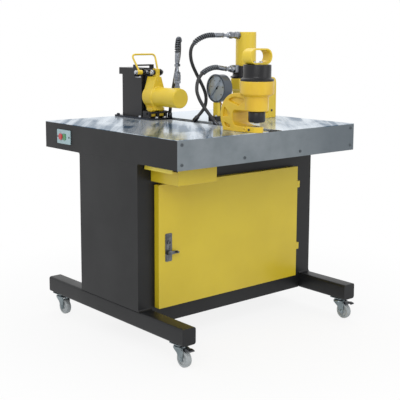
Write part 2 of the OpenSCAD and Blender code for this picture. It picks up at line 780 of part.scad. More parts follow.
// Side pockets that leave raised rims and a cross rib on the casting.
module punch_pockets() {
  rim = bow[2] - 14;
  polygon(concat(arc(bow[0], bow[1], rim, -34, -21, 3), arc(121, 838, 6, 120, 250, 4)));
  polygon(concat(arc(bow[0], bow[1], rim, -6, 26, 6), arc(124, 884, 6, 120, 260, 4)));
  polygon(concat(arc(bow[0], bow[1], rim, 52, 84, 6), arc(48, 938, 8, 90, 200, 5),
    arc(72, 925, 7, 240, 320, 4)));
}

// Cast C frame with the cylinder head, drilled for ram, die and set screw.
module punch_frame() {
  left = punch_x - cast_w / 2;
  color(yellow) difference() {
    union() {
      intersection() {
        along_x(left, cast_w) punch_profile();
        union() {
          translate([0, 0, table_h]) linear_extrude(throat_z[0] - table_h + 30) punch_plan(29);
          translate([0, 0, throat_z[0] + 20]) linear_extrude(130) punch_plan(40);
        }
      }
      translate([punch_x, punch_y, 0]) rotate_extrude()
        polygon([[0, throat_z[1]], [42, throat_z[1]], [44.5, throat_z[1] + 3], [44.5, neck_top],
          [62, head_z[0]],
                 [punch_head_r, head_z[0] + 3], [punch_head_r, head_z[1]], [0, head_z[1]]]);
      disc_x([left, punch_x], 38, 831, 10);
      disc_y(punch_x, [punch_y + 50, punch_y + 80], 987, 14);
    }
    disc_y(punch_x, [punch_y + 62, punch_y + 81], 987, 9);
    for (x = [left - 1, left + cast_w - 12]) along_x(x, 13) punch_pockets();
    disc_z(punch_x, punch_y, [throat_z[1] - 1, 990], 29.5 + run_fit);
    disc_z(punch_x, punch_y, [985, head_z[1] + 1], 50);
    disc_z(punch_x, punch_y, [827, throat_z[0] + 1], 22);
    disc_z(punch_x, punch_y, [table_h - 1, 828], 14);
    disc_x([left - 1, left + 9], 38, 831, 3);
  }
}

module punch_cap() {
  color(black) translate([punch_x, punch_y, 0]) rotate_extrude()
    polygon(concat([[0, head_z[1]], [62, head_z[1]], [62, head_z[1] + 8]],
      arc(62, head_z[1] + 18, 10, -90, -180, 5),
                   [[52, strap_z - 2], [50, strap_z], [0, strap_z]]));
}

// Flat steel bar bent into an oblong loop and screwed to the cap.
module punch_handle() {
  mid = strap_z + 29.5;
  color(yellow) difference() {
    along_y(punch_y - 22, 45) difference() {
      polygon(concat(arc(punch_x + 26.5, mid, 29.5, -90, 90, 14),
        arc(punch_x - 26.5, mid, 29.5, 90, 270, 14)));
      polygon(concat(arc(punch_x + 26.5, mid, 23.5, -90, 90, 14),
        arc(punch_x - 26.5, mid, 23.5, 90, 270, 14)));
    }
    for (x = [-18, 18]) disc_z(punch_x + x, punch_y, [strap_z - 1, strap_z + 7], 4 + run_fit);
  }
}

// Piston, punch holder and punch.
module punch_ram() {
  color(black) {
    disc_z(punch_x, punch_y, [859, 1002], 29.5);
    disc_z(punch_x, punch_y, [1001, 1009], 50 - run_fit);
    disc_z(punch_x, punch_y, [855, 860], 10.7);
  }
}

module punch_die() {
  color(steel) difference() {
    disc_z(punch_x, punch_y, [827, 843], 22);
    disc_z(punch_x, punch_y, [826, 844], 11);
  }
}

// ---- gauge ----

gauge = [548, 425, 957];
gauge_d = 44;

// Steel manifold block that the gauge's flat post is screwed on.
module gauge_base() {
  color(black) difference() {
    block([528, 592], [402, 448], [table_h, table_h + 22]);
    for (y = [408, 442]) disc_z(535, y, [table_h - 1, table_h + 23], 3.3);
  }
}

module gauge_post() {
  color(yellow) block([546, 562], [411, 439], [table_h + 22, gauge[2] - gauge_r - 2]);
}

// Round case with a bezel ring, an inner ledge for the dial and a stem below.
module gauge_case() {
  r = gauge_r;
  color([0.35, 0.38, 0.42]) {
    translate(gauge) rotate([0, 90, 0]) rotate_extrude()
      polygon([[0, gauge_d], [r - 3, gauge_d], [r, gauge_d - 3], [r, 6], [r + 2, 5], [r + 2, -1],
        [r - 4, -3],
               [r - 4, 0],
               [r - 2, 1], [r - 2, 9.2], [r - 6, 9.2], [r - 6, gauge_d - 2], [0, gauge_d - 2]]);
    difference() {
      disc_z(554, gauge[1], [gauge[2] - r - 2, gauge[2] - r + 4], 6);
      translate([gauge[0], gauge[1], gauge[2]]) rotate([0, 90, 0]) cylinder(h = gauge_d, r = r - 1);
    }
  }
}

module gauge_dial() {
  color([0.85, 0.87, 0.88]) difference() {
    disc_x([gauge[0] + 8, gauge[0] + 9.2], gauge[1], gauge[2], gauge_r - 2.2);
    disc_x([gauge[0] + 7, gauge[0] + 10], gauge[1], gauge[2], 1.5 + run_fit);
  }
}

// Pointer at the zero end of the scale, low on the side away from the operator, with its arbor.
module gauge_needle() {
  color(black) translate([gauge[0], gauge[1], gauge[2]]) {
    rotate([45, 0, 0]) along_x(5, 1)
      polygon([[-2, 0], [-1.5, 17], [1.5, 17], [2, 0], [0.6, -42], [-0.6, -42]]);
    disc_x([4.5, 6.5], 0, 0, 4.5);
    disc_x([6, 13], 0, 0, 1.5);
  }
}

// ---- hoses ----

hose_r = 7;
hose_sides = 8;
// Route of each hose, ferrule to coupling.
hose_top = 1106;
route_bender = [[405, 503, hose_top], [406, 504, 1120], [410.5, 508, 1132.5], [424.5, 521, 1152],
  [443, 540, 1159], [461.5, 559.5, 1152], [474.5, 574, 1132.5], [478.5, 580, 1106], [477.5, 583.5, 1079],
  [475.5, 590.5, 1048], [473, 598.5, 1012], [472, 607.5, 976], [471, 616, 940], [471, 624, 908],
  [472.5, 632, 876], [475, 640, 846]];
route_upper = [[530, 419, 1176], [508, 419, 1176], [484, 421, 1172], [460, 424, 1163], [439, 428, 1149],
  [425, 433, 1130], [422, 438, 1106], [429, 443, 1077], [444, 448, 1049], [464, 453, 1022], [484, 457, 996],
  [504, 461, 970], [521, 465, 945], [532, 469, 921], [537, 475, 898], [535, 481, 876], [526, 489, 856],
  [513, 497, 838]];
route_lower = [[552, 419, 1044], [532, 419, 1044], [510, 418, 1040], [488, 417, 1033], [467, 415, 1022],
  [449, 412, 1008], [436, 409, 991], [428, 405, 972], [425, 401, 950], [428, 395, 929], [434, 387, 908],
  [442, 377, 888], [451, 365, 868], [460, 353, 849], [467, 342, 831]];

// A closed tube along the points, each ring square to the route; side is a direction the route
// never follows.
module tube(points, side) {
  n = len(points);
  m = hose_sides;
  function dir(i) = points[min(i + 1, n - 1)] - points[max(i - 1, 0)];
  function unit(v) = v / norm(v);
  rings = [for (i = [0:n - 1]) let (t = unit(dir(i)), u = unit(cross(t, side)), v = cross(t, u))
    for (k = [0:m - 1]) points[i] + hose_r * (cos(360 * k / m) * u + sin(360 * k / m) * v)];
  walls = [for (i = [0:n - 2]) for (k = [0:m - 1])
    [i * m + k, (i + 1) * m + k, (i + 1) * m + (k + 1) % m, i * m + (k + 1) % m]];
  ends = [[for (k = [0:m - 1]) k], [for (k = [m - 1:-1:0]) (n - 1) * m + k]];
  color([0.12, 0.12, 0.12]) polyhedron(points = rings, faces = concat(walls, ends), convexity = 4);
}

// Couplings, ferrules and port blocks of the hoses, and the couplings in the slot's plate.
module hydraulic_fittings() {
  y = cutter_y;
  port = 1176;
  low = 1036;
  color(zinc) {
    disc_z(bender_x, 503, [bender_z + bender_r + 3, 984], 9);
    hexagon(bender_x, 503, [984, 992], 15);
    disc_z(bender_x, 503, [992, 1022], 14.5);
    disc_z(bender_x, 503, [1022, 1050], 7);
    hexagon(bender_x, 503, [1050, 1060], 13);
    disc_z(bender_x, 503, [1060, hose_top], 10);
    disc_x([628, cutter_x - 42], y, port, 13.5);
    disc_x([608, 628], y, port, 12);
    disc_x([572, 610], y, port, 7);
    disc_x([530, 572], y, port, 10);
    block([632, cutter_x - 50], [y - 15.6, y + 15.6], [low - 18, low + 10]);
    disc_x([612, 632], y, low, 12);
    rod([593, y, 1037], [612, y, low], 7.5);
    rod([552, y, 1044], [594, y, 1037], 10);
    coupling([475, 640, 846], bulkhead[2]);
    coupling([513, 497, 838], bulkhead[1]);
    coupling([467, 342, 831], bulkhead[0]);
  }
}

// Ferrule and nut that carry a hose from its end down to its hole in the bulkhead.
module coupling(end, hole) {
  foot = [hole[0], hole[1], table_h - 8];
  rod(end, foot, 9);
  hexagon(hole[0], hole[1], [frame_z, table_h - 6], 14);
  disc_z(hole[0], hole[1], [frame_z - 24, frame_z], 8);
  hexagon(hole[0], hole[1], [frame_z - 14, frame_z - 3], 14);
}

// Fasteners: base plate and apron screws, the bail's long bolt, handle and lug bolts, tray rail screws.
module bolts() {
  color(zinc) {
    for (p = bender_bolts) {
      hexagon(p[0], p[1], [table_h + base_t, table_h + base_t + 5], 7.5);
      disc_z(p[0], p[1], [table_h, table_h + base_t], 4);
    }
    disc_x([bender_x - 70, bender_x + 70], bail_y, bail_z, 5);
    for (s = [-1, 1])
      translate([bender_x + s * 67, bail_y, bail_z]) rotate([0, s * 90, 0]) cylinder(h = 7, r = 8, $fn = 6);
    for (x = [-18, 18]) {
      disc_z(punch_x + x, punch_y, [strap_z, strap_z + 6], 4);
      disc_z(punch_x + x, punch_y, [strap_z + 6, strap_z + 11], 7);
    }
    for (q = [[20, 20], [20, 91], [318, 20], [613, 20], [910, 20], [910, 91]])
      disc_y(q[0], [-2, 0], apron_z + q[1], 4);
    for (y = [-42, 42]) disc_x([-6, -4], switch_y + y, switch_z, 4);
    for (y = [408, 442]) disc_z(535, y, [table_h + 22, table_h + 27], 5);
  }
}

tank = [[420, 800], [300, 560], [170, 372]];
lid_t = 6;
motor_at = [700, 430];

// Welded oil tank on the cabinet floor with a screwed lid, filler cap, sight gauge and drain plug.
module oil_tank() {
  x = tank[0];
  y = tank[1];
  z = tank[2];
  color(grey) {
    difference() {
      block(x, y, z);
      block([x[0] + 3, x[1] - 3], [y[0] + 3, y[1] - 3], [z[0] + 3, z[1] - 1]);
      disc_z(motor_at[0], motor_at[1], [z[1] - 5, z[1] + 1], 40);
    }
    difference() {
      block([x[0] - 8, x[1] + 8], [y[0] - 8, y[1] + 8], [z[1], z[1] + lid_t]);
      disc_z(motor_at[0], motor_at[1], [z[1] - 1, z[1] + lid_t + 1], 40);
    }
    disc_z(450, 335, [z[1] + lid_t, z[1] + lid_t + 30], 14);
    disc_z(450, 335, [z[1] + lid_t + 22, z[1] + lid_t + 52], 24);
    block([445, 469], [y[0] - 12, y[0]], [210, 330]);
    disc_y(640, [y[0] - 10, y[0]], 195, 11);
  }
}

// Upright motor with cooling ribs, fan cowl, terminal box and a foot flange on the tank's lid.
module motor() {
  x = motor_at[0];
  y = motor_at[1];
  z0 = tank[2][1] + lid_t;
  color(grey) {
    disc_z(x, y, [z0 - 60, z0], 38);
    disc_z(x, y, [z0, z0 + 12], 80);
    disc_z(x, y, [z0 + 12, z0 + 150], 62);
    for (i = [0:35]) translate([x, y, z0 + 12]) rotate([0, 0, 10 * i])
      translate([58, -1.2, 0]) cube([14, 2.4, 134]);
    disc_z(x, y, [z0 + 150, z0 + 196], 74);
    block([x - 38, x + 38], [y - 96, y - 58], [z0 + 40, z0 + 116]);
  }
}

// Drilled manifold on the tank's lid, with its inlet from the pump.
module valve_block() {
  z0 = tank[2][1] + lid_t;
  color(zinc) difference() {
    block([470, 610], [400, 470], [z0, z0 + 55]);
    for (i = [0:2]) disc_z(495 + 45 * i, 435, [z0 + 54 - 20, z0 + 56], 7);
  }
}

// Three valves in a row on the manifold, one for each station, each with its coil.
module solenoid_valves() {
  z0 = tank[2][1] + lid_t + 55;
  color(black) for (i = [0:2]) {
    x = 495 + 45 * i;
    block([x - 18, x + 18], [405, 465], [z0, z0 + 30]);
    disc_z(x, 435, [z0 - 18, z0], 7 - run_fit);
    block([x - 17, x + 17], [414, 456], [z0 + 32, z0 + 74]);
    disc_z(x, 435, [z0 + 29, z0 + 84], 8);
  }
}

placed() column();  // column_left
placed() to_right() column();  // column_right
placed() foot_beam();  // foot_beam_left
placed() to_right() foot_beam();  // foot_beam_right
placed() frame_rails();
placed() table_frame();
placed() side_aprons();
placed() front_apron();
placed() top_sheets();
placed() cabinet_back();
placed() door();
placed() hinge_barrels();
placed() lock_plate();
placed() lock_lever();
placed() scrap_tray();
placed() switch_box();
placed() start_button();
placed() stop_button();
placed() caster_plates();
placed() at_caster(0) fork();  // fork_front_left
placed() at_caster(1) fork();  // fork_front_right
placed() at_caster(2) fork();  // fork_rear_left
placed() at_caster(3) fork();  // fork_rear_right
placed() at_caster(0) wheel();  // wheel_front_left
placed() at_caster(1) wheel();  // wheel_front_right
placed() at_caster(2) wheel();  // wheel_rear_left
placed() at_caster(3) wheel();  // wheel_rear_right
placed() at_caster(0) brake();  // brake_left
placed() at_caster(1) brake();  // brake_right
placed() bender_base();
placed() bender_die();
placed() bender_links();
placed() bender_head();
placed() bender_ram();
placed() bender_bail();
placed() cutter_body();
placed() cutter_anvil();
placed() cutter_collar();
placed() cutter_cylinder();
placed() cutter_blade();
placed() cutter_lower_blade();
placed() punch_frame();
placed() punch_cap();
placed() punch_handle();
placed() punch_ram();
placed() punch_die();
placed() gauge_base();
placed() gauge_post();
placed() gauge_case();
placed() gauge_dial();
placed() gauge_needle();
placed() tube(route_bender, [0.65, -0.76, 0.05]);  // hose_bender
placed() tube(route_upper, [0, 1, 0]);  // hose_upper
placed() tube(route_lower, [0, 1, 0]);  // hose_lower
placed() hydraulic_fittings();
placed() bolts();
placed() oil_tank();
placed() motor();
placed() valve_block();
placed() solenoid_valves();
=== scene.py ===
import json
import math

import bmesh
import bpy
import numpy as np
from mathutils import Matrix, Vector


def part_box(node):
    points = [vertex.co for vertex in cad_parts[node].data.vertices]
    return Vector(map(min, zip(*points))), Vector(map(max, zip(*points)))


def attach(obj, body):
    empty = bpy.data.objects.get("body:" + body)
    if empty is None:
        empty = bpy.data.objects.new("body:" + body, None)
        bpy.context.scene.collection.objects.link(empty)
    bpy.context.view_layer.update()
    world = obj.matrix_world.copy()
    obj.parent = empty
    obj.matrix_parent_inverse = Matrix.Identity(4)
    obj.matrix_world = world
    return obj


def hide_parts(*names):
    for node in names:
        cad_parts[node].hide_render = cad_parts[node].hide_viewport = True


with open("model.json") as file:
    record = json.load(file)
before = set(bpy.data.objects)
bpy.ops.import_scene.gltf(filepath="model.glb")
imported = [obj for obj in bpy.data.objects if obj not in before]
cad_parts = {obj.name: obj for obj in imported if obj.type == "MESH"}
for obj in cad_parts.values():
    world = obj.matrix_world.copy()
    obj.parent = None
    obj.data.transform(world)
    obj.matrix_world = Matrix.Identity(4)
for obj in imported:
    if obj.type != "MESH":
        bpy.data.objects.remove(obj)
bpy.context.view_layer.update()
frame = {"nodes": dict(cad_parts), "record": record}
print("machine: frame loaded")

# Lengths below are millimetres from the table's front left corner on the floor; place() puts them in the
# frame.
tableCorner = np.array([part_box("top_sheets")[0].x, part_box("top_sheets")[0].y, 0.0])


def place(points):
    return np.asarray(points, float) * 0.001 + tableCorner


bodyOf = {node: body for body, nodes in frame["record"]["behaviour"]["bodies"].items() for node in nodes}
slotOf = {part["node"]: part["material_slot"] for part in frame["record"]["subparts"]}

# camera

viewpoint = {"spot": (-1883.0, -2332.9, 1184.5), "yaw": 0.7049, "pitch": 0.1491, "roll": 0.0036,
             "lens": 79.3, "sensor": 36.0, "shiftY": -0.0865}


def makeCamera(v):
    # the looking direction from heading and downward tilt, then the picture turned by roll about it
    ahead = Vector((math.sin(v["yaw"]) * math.cos(v["pitch"]), math.cos(v["yaw"]) * math.cos(v["pitch"]),
                    -math.sin(v["pitch"])))
    level = Vector((math.cos(v["yaw"]), -math.sin(v["yaw"]), 0.0))
    upright = level.cross(ahead)
    right = level * math.cos(v["roll"]) + upright * math.sin(v["roll"])
    up = upright * math.cos(v["roll"]) - level * math.sin(v["roll"])
    lens = bpy.data.cameras.new("viewCamera")
    lens.lens = v["lens"]
    lens.sensor_width = v["sensor"]
    lens.shift_y = v["shiftY"]
    lens.clip_end = 60
    camera = bpy.data.objects.new("viewCamera", lens)
    turn = Matrix((right, up, -ahead)).transposed().to_4x4()
    camera.matrix_world = Matrix.Translation(Vector(place(v["spot"]))) @ turn
    bpy.context.collection.objects.link(camera)
    bpy.context.scene.camera = camera


makeCamera(viewpoint)

# surfaces


def shell(surface, wrapRows=False, caps=True):
    # the corners of a grid of rows and columns with a four sided face between neighbours; each row is a ring,
    # and caps close the first and last row with one face each
    rows, cols = surface.shape[:2]
    i = np.arange(rows if wrapRows else rows - 1)[:, None]
    j = np.arange(cols)[None, :]
    corners = [i * cols + j, i * cols + (j + 1) % cols,
               ((i + 1) % rows) * cols + (j + 1) % cols, ((i + 1) % rows) * cols + j]
    faces = np.stack(np.broadcast_arrays(*corners), -1).reshape(-1, 4).tolist()
    if caps:
        faces += [list(range(cols)), list(range((rows - 1) * cols, rows * cols))]
    return surface.reshape(-1, 3), faces


def cleanMesh(mesh, doubles, *steps):
    # merges corners closer than doubles, in metres, then runs the further steps
    bm = bmesh.new()
    bm.from_mesh(mesh)
    bmesh.ops.remove_doubles(bm, verts=bm.verts, dist=doubles)
    for step in steps:
        step(bm)
    bm.to_mesh(mesh)
    bm.free()


def makePiece(name, mesh, finish, body, replaced, smooth, width):
    # the object for a mesh: shaded smooth up to an angle in degrees, its sharp edges rounded by width
    mesh.shade_smooth()
    mesh.set_sharp_from_angle(angle=math.radians(smooth))
    mesh.materials.clear()
    mesh.materials.append(finishes[finish])
    piece = bpy.data.objects.new(name, mesh)
    bpy.context.collection.objects.link(piece)
    if width:
        roundEdges(piece, width)
    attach(piece, body)
    if replaced:
        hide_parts(*replaced)
    return piece


def addPiece(name, shells, finish, body, slotName, smooth=35.0, replaced=(), bevel=0.0):
    # one mesh from several shells given in millimetres; doubles are merged and faces point outwards
    points, faces, count = [], [], 0
    for corners, polygons in shells:
        points.append(place(corners))
        faces += [[k + count for k in polygon] for polygon in polygons]
        count += len(corners)
    mesh = bpy.data.meshes.new(name)
    mesh.from_pydata(np.concatenate(points), [], faces)
    cleanMesh(mesh, 2e-6, lambda bm: bmesh.ops.dissolve_degenerate(bm, edges=bm.edges, dist=1e-7),
              lambda bm: bmesh.ops.recalc_face_normals(bm, faces=bm.faces))
    return makePiece(name, mesh, finish, body, replaced, smooth, bevel)


def roundEdges(piece, width):
    # edges sharper than 32 degrees get two narrow faces across a width in millimetres
    bevel = piece.modifiers.new("roundedEdges", "BEVEL")
    bevel.width = width * 0.001
    bevel.segments = 2
    bevel.limit_method = "ANGLE"
    bevel.angle_limit = math.radians(32)
    bevel.harden_normals = True
    bevel.use_clamp_overlap = True


def rawPoints(mesh):
    # the mesh's corners, one row each
    flat = np.empty(len(mesh.vertices) * 3)
    mesh.vertices.foreach_get("co", flat)
    return flat.reshape(-1, 3)


def movePoints(mesh, move):
    # the mesh's corners, in millimetres from the table's corner, go through a function that moves them
    moved = move((rawPoints(mesh) - tableCorner) * 1000)
    mesh.vertices.foreach_set("co", place(moved).ravel())


def finishNode(name, finish, width=0.0, smooth=32.0):
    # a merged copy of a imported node, shaded smooth between its sharp edges, which are rounded by width; the
    # function that reshapes has for a node moves its corners first
    mesh = frame["nodes"][name].data.copy()
    mesh.name = name + "Finished"
    flatEnough = math.radians(0.3)
    cleanMesh(mesh, 5e-6, lambda bm: bmesh.ops.dissolve_limit(bm, angle_limit=flatEnough, verts=bm.verts,
                                                              edges=bm.edges))
    if name in reshapes:
        movePoints(mesh, reshapes[name])
    return makePiece(name + "Finished", mesh, finish, bodyOf[name], [name], smooth, width)


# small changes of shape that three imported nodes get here, in millimetres and in shares of a size
doorCorner = {"radius": 8.0, "power": 9}
switch = {"y": 731.0, "z": 766.0, "screwY": 42.0, "trimFrom": (44.0, 24.0), "trim": (2.0, 2.4)}
stopCap = {"y": 747.0, "z": 766.0, "back": -8.0, "stem": 8.3, "width": 0.92, "height": 0.6}


def squareDoor(points):
    # inside each corner of the door a circle about its centre becomes a squarer curve: the distance from the
    # centre is taken as the sum of both offsets to a power, so that folded sheet gets a tight corner
    axes = [0, 2]
    low, high = (((np.array(corner) - tableCorner) * 1000)[axes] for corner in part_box("door"))
    radius, power = doorCorner["radius"], doorCorner["power"]
    flat = points[:, axes]
    centre = np.clip(flat, low + radius, high - radius)
    offset = flat - centre
    inCorner = np.all(np.abs(offset) > 1e-3, axis=1)
    d = offset[inCorner]
    squarer = (np.abs(d) ** power).sum(1) ** (1 / power)
    points[np.ix_(inCorner, axes)] = centre[inCorner] + np.clip(
        d * (np.linalg.norm(d, axis=1) / squarer)[:, None], -radius, radius)
    return points


def trimSwitch(points):
    # the plate is drawn in a little around its two buttons
    fromCentre = points[:, 1:] - (switch["y"], switch["z"])
    outer = np.abs(fromCentre) > switch["trimFrom"]
    points[:, 1:] -= np.where(outer, np.sign(fromCentre) * switch["trim"], 0.0)
    return points


def flattenStop(points):
    # the mushroom cap becomes lower and a little narrower; its stem keeps its size
    centre, back = np.array((stopCap["y"], stopCap["z"])), stopCap["back"]
    spread = points[:, 1:] - centre
    outside = np.linalg.norm(spread, axis=1) > stopCap["stem"]
    points[outside, 1:] = centre + spread[outside] * stopCap["width"]
    depth = points[:, 0]
    points[:, 0] = np.where(depth < back, back + (depth - back) * stopCap["height"], depth)
    return points


reshapes = {"door": squareDoor, "switch_box": trimSwitch, "stop_button": flattenStop}


def unit(v):
    return v / np.linalg.norm(v, axis=-1, keepdims=True)


def angles(sides):
    return np.linspace(0, 2 * np.pi, sides, endpoint=False)


def basis(axis):
    # two directions square to an axis, and the axis with length one
    axis = unit(np.asarray(axis, float))
    helper = np.array([0.0, 0.0, 1.0]) if abs(axis[2]) < 0.9 else np.array([1.0, 0.0, 0.0])
    u = unit(np.cross(helper, axis))
    return u, np.cross(axis, u), axis


def lathe(profile, spot, axis, sides=48, hollow=False):
    # each (distance along the axis, radius) of the profile turned once about the axis through spot; either
    # may be one number or one for each angle, and a hollow piece joins its last ring to its first
    u, v, w = basis(axis)
    t = angles(sides)
    circle = np.cos(t)[:, None] * u + np.sin(t)[:, None] * v
    far, radius = (np.stack([np.broadcast_to(ring[k], sides) for ring in profile])[..., None] for k in (0, 1))
    return shell(np.asarray(spot, float) + far * w + radius * circle, wrapRows=hollow, caps=not hollow)


def hexRadius(angle, acrossFlats):
    # distance from a hexagon's middle to its side in a direction
    return acrossFlats / 2 / np.cos((angle + np.pi / 6) % (np.pi / 3) - np.pi / 6)


def hexNut(spot, axis, length, acrossFlats, sides=72):
    # a hexagon along an axis; each end is cut back by a 30 degree cone, so its corners round off
    flat, lip, slope = acrossFlats / 2, 0.15, 0.577
    outer = hexRadius(angles(sides), acrossFlats)
    cut = (outer - flat * 0.97) * slope + lip
    return lathe([(0, flat * 0.94), (lip, flat * 0.97), (cut, outer), (length - cut, outer),
                  (length - lip, flat * 0.97), (length, flat * 0.94)], spot, axis, sides)


def boxShell(low, high):
    # the eight corners of a block and its six faces
    x, y, z = (np.array([a, b], float) for a, b in zip(low, high))
    corners = np.array([[x[i], y[j], z[k]] for k in (0, 1) for j in (0, 1) for i in (0, 1)])
    return corners, [[0, 2, 3, 1], [4, 5, 7, 6], [0, 1, 5, 4], [2, 6, 7, 3], [0, 4, 6, 2], [1, 3, 7, 5]]


def lengthAlong(path):
    return np.concatenate([[0], np.cumsum(np.linalg.norm(np.diff(path, axis=0), axis=1))])


def smoothPath(points, spacing):
    # Catmull-Rom curve through the points, resampled at even steps of its length
    p = np.asarray(points, float)
    p = np.vstack([2 * p[0] - p[1], p, 2 * p[-1] - p[-2]])
    t = np.linspace(0, 1, 24, endpoint=False)[None, :, None]
    a, b, c, d = (p[k:len(p) - 3 + k, None, :] for k in range(4))
    curve = 0.5 * (2 * b + (c - a) * t + (2 * a - 5 * b + 4 * c - d) * t ** 2
                   + (3 * b - a - 3 * c + d) * t ** 3)
    curve = np.vstack([curve.reshape(-1, 3), p[-2]])
    run = lengthAlong(curve)
    even = np.linspace(0, run[-1], max(2, int(round(run[-1] / spacing)) + 1))
    return np.stack([np.interp(even, run, curve[:, k]) for k in range(3)], 1), run[-1]


def roundedPath(points, radius, steps=10):
    # straight runs joined by a quadratic curve that starts and ends a radius before and after each corner
    p = np.asarray(points, float)
    t = np.linspace(0, 1, steps)[:, None]
    path = [p[:1]]
    for before, corner, after in zip(p[:-2], p[1:-1], p[2:]):
        back, on = before - corner, after - corner
        start = corner + back * min(radius / np.linalg.norm(back), 0.46)
        stop = corner + on * min(radius / np.linalg.norm(on), 0.46)
        path.append(start * (1 - t) ** 2 + 2 * corner * t * (1 - t) + stop * t ** 2)
    return np.vstack(path + [p[-1:]])


def headings(path):
    return unit(np.gradient(path, axis=0))


def squareTo(path, side):
    # two directions square to a path at each of its points; side is a direction the path never follows
    ahead = headings(path)
    u = unit(np.cross(ahead, np.asarray(side, float)))
    return u, np.cross(ahead, u)


def ringsOn(line, radius, u, v, sides):
    # a tube: at each point of the line a ring in the plane of u and v
    t = angles(sides)[None, :, None]
    return shell(line[:, None] + radius * (np.cos(t) * u[:, None] + np.sin(t) * v[:, None]))


def sweep(path, radius, side, sides=24):
    return ringsOn(path, radius, *squareTo(path, side), sides)


def coil(path, side, radius, wire, pitch, sides=7):
    # a round wire wound on a path: its centre line turns at a radius once in each pitch
    run = lengthAlong(path)
    s = np.linspace(0, run[-1], int(run[-1] / pitch * 20))
    spot, u, v = (np.stack([np.interp(s, run, w[:, k]) for k in range(3)], 1)
                  for w in (path, *squareTo(path, side)))
    turn = s / pitch * 2 * np.pi
    out = unit(np.cos(turn)[:, None] * u + np.sin(turn)[:, None] * v)
    line = spot + radius * out
    return ringsOn(line, wire, out, np.cross(headings(line), out), sides)


# shader nodes


def feed(tree, socket, value):
    # a number, a colour or another node's output into a socket
    if isinstance(value, bpy.types.NodeSocket):
        tree.links.new(value, socket)
    else:
        socket.default_value = value


def node(tree, kind, sockets=None, **settings):
    # adds a node, sets its properties and feeds its sockets, which are named or counted
    made = tree.nodes.new(kind)
    for key, value in settings.items():
        setattr(made, key, value)
    for key, value in (sockets or {}).items():
        feed(tree, made.inputs[key], value)
    return made


def mathNode(tree, operation, a, b, clamp=False):
    return node(tree, "ShaderNodeMath", {0: a, 1: b}, operation=operation, use_clamp=clamp).outputs[0]


def times(tree, a, b, clamp=False):
    return mathNode(tree, "MULTIPLY", a, b, clamp)


def plus(tree, a, b, clamp=False):
    return mathNode(tree, "ADD", a, b, clamp)


def mixColour(tree, factor, a, b):
    return node(tree, "ShaderNodeMix", {0: factor, 6: a, 7: b}, data_type="RGBA").outputs[2]


def objectSpot(tree):
    return node(tree, "ShaderNodeTexCoord").outputs["Object"]


def stretched(tree, vector, factors):
    return node(tree, "ShaderNodeVectorMath", {0: vector, 1: factors}, operation="MULTIPLY").outputs[0]


def noise(tree, vector, scale, detail, roughness=0.5):
    return node(tree, "ShaderNodeTexNoise", {"Vector": vector, "Scale": scale, "Detail": detail,
                                             "Roughness": roughness}).outputs["Fac"]


def ramp(tree, value, low, high, fromLow=0.3, fromHigh=0.7, smooth=False):
    # a value between fromLow and fromHigh spread from low to high, and held beyond both
    return node(tree, "ShaderNodeMapRange", {"Value": value, "From Min": fromLow, "From Max": fromHigh,
                                             "To Min": low, "To Max": high},
                interpolation_type="SMOOTHSTEP" if smooth else "LINEAR").outputs[0]


def makeGroup(name, inputs, outputs):
    # a group whose inputs are numbers or stretches with a first value, and whose outputs are numbers
    group = bpy.data.node_groups.new(name, "ShaderNodeTree")
    for label, value in inputs.items():
        kind = "NodeSocketVector" if isinstance(value, tuple) else "NodeSocketFloat"
        group.interface.new_socket(name=label, in_out="INPUT", socket_type=kind).default_value = value
    for label in outputs:
        group.interface.new_socket(name=label, in_out="OUTPUT", socket_type="NodeSocketFloat")
    return group, group.nodes.new("NodeGroupInput").outputs, group.nodes.new("NodeGroupOutput").inputs


def edgeGroup():
    # bare edges: where a rounded normal leaves the face's own, broken up by noise
    group, given, made = makeGroup("edgeWear", {"Width": 0.001, "Amount": 0.5, "Breakup": 60.0}, ["Mask"])
    face = node(group, "ShaderNodeNewGeometry").outputs["Normal"]
    rounded = node(group, "ShaderNodeBevel", {"Radius": given["Width"]}, samples=4).outputs[0]
    same = node(group, "ShaderNodeVectorMath", {0: rounded, 1: face}, operation="DOT_PRODUCT")
    edge = mathNode(group, "SUBTRACT", 1.0, same.outputs["Value"], clamp=True)
    spread = noise(group, objectSpot(group), given["Breakup"], 4.0, 0.65)
    broken = mathNode(group, "SUBTRACT", spread, 0.36, clamp=True)
    worn = times(group, times(group, edge, broken), 60.0, clamp=True)
    feed(group, made["Mask"], times(group, worn, given["Amount"]))
    return group


def skinGroup():
    # uneven skin: large soft patches as one mask and a fine grain as one height
    group, given, made = makeGroup("skinTexture", {"Patches": 4.0, "Grain": 900.0}, ["Patch", "Grain"])
    spot = objectSpot(group)
    feed(group, made["Patch"], noise(group, spot, given["Patches"], 5.0, 0.55))
    feed(group, made["Grain"], noise(group, spot, given["Grain"], 2.0))
    return group


def dustGroup():
    # dust: more on faces that look up, and in patches
    group, given, made = makeGroup("settledDust", {"Amount": 0.3, "Patches": 9.0}, ["Mask"])
    face = node(group, "ShaderNodeNewGeometry").outputs["Normal"]
    upwards = node(group, "ShaderNodeSeparateXYZ", {"Vector": face}).outputs["Z"]
    patches = noise(group, objectSpot(group), given["Patches"], 6.0, 0.7)
    both = times(group, ramp(group, upwards, 0.15, 1.0, 0.2, 1.0), ramp(group, patches, 0.0, 1.0, 0.38, 0.72))
    feed(group, made["Mask"], times(group, both, given["Amount"], clamp=True))
    return group


def brushGroup():
    # fine straight scratches: noise stretched long along one direction
    group, given, made = makeGroup("brushedLines", {"Stretch": (2.0, 700.0, 700.0)}, ["Lines"])
    longer = stretched(group, objectSpot(group), given["Stretch"])
    feed(group, made["Lines"], noise(group, longer, 1.0, 3.0, 0.6))
    return group


groups = {"edge": edgeGroup(), "skin": skinGroup(), "dust": dustGroup(), "brush": brushGroup()}


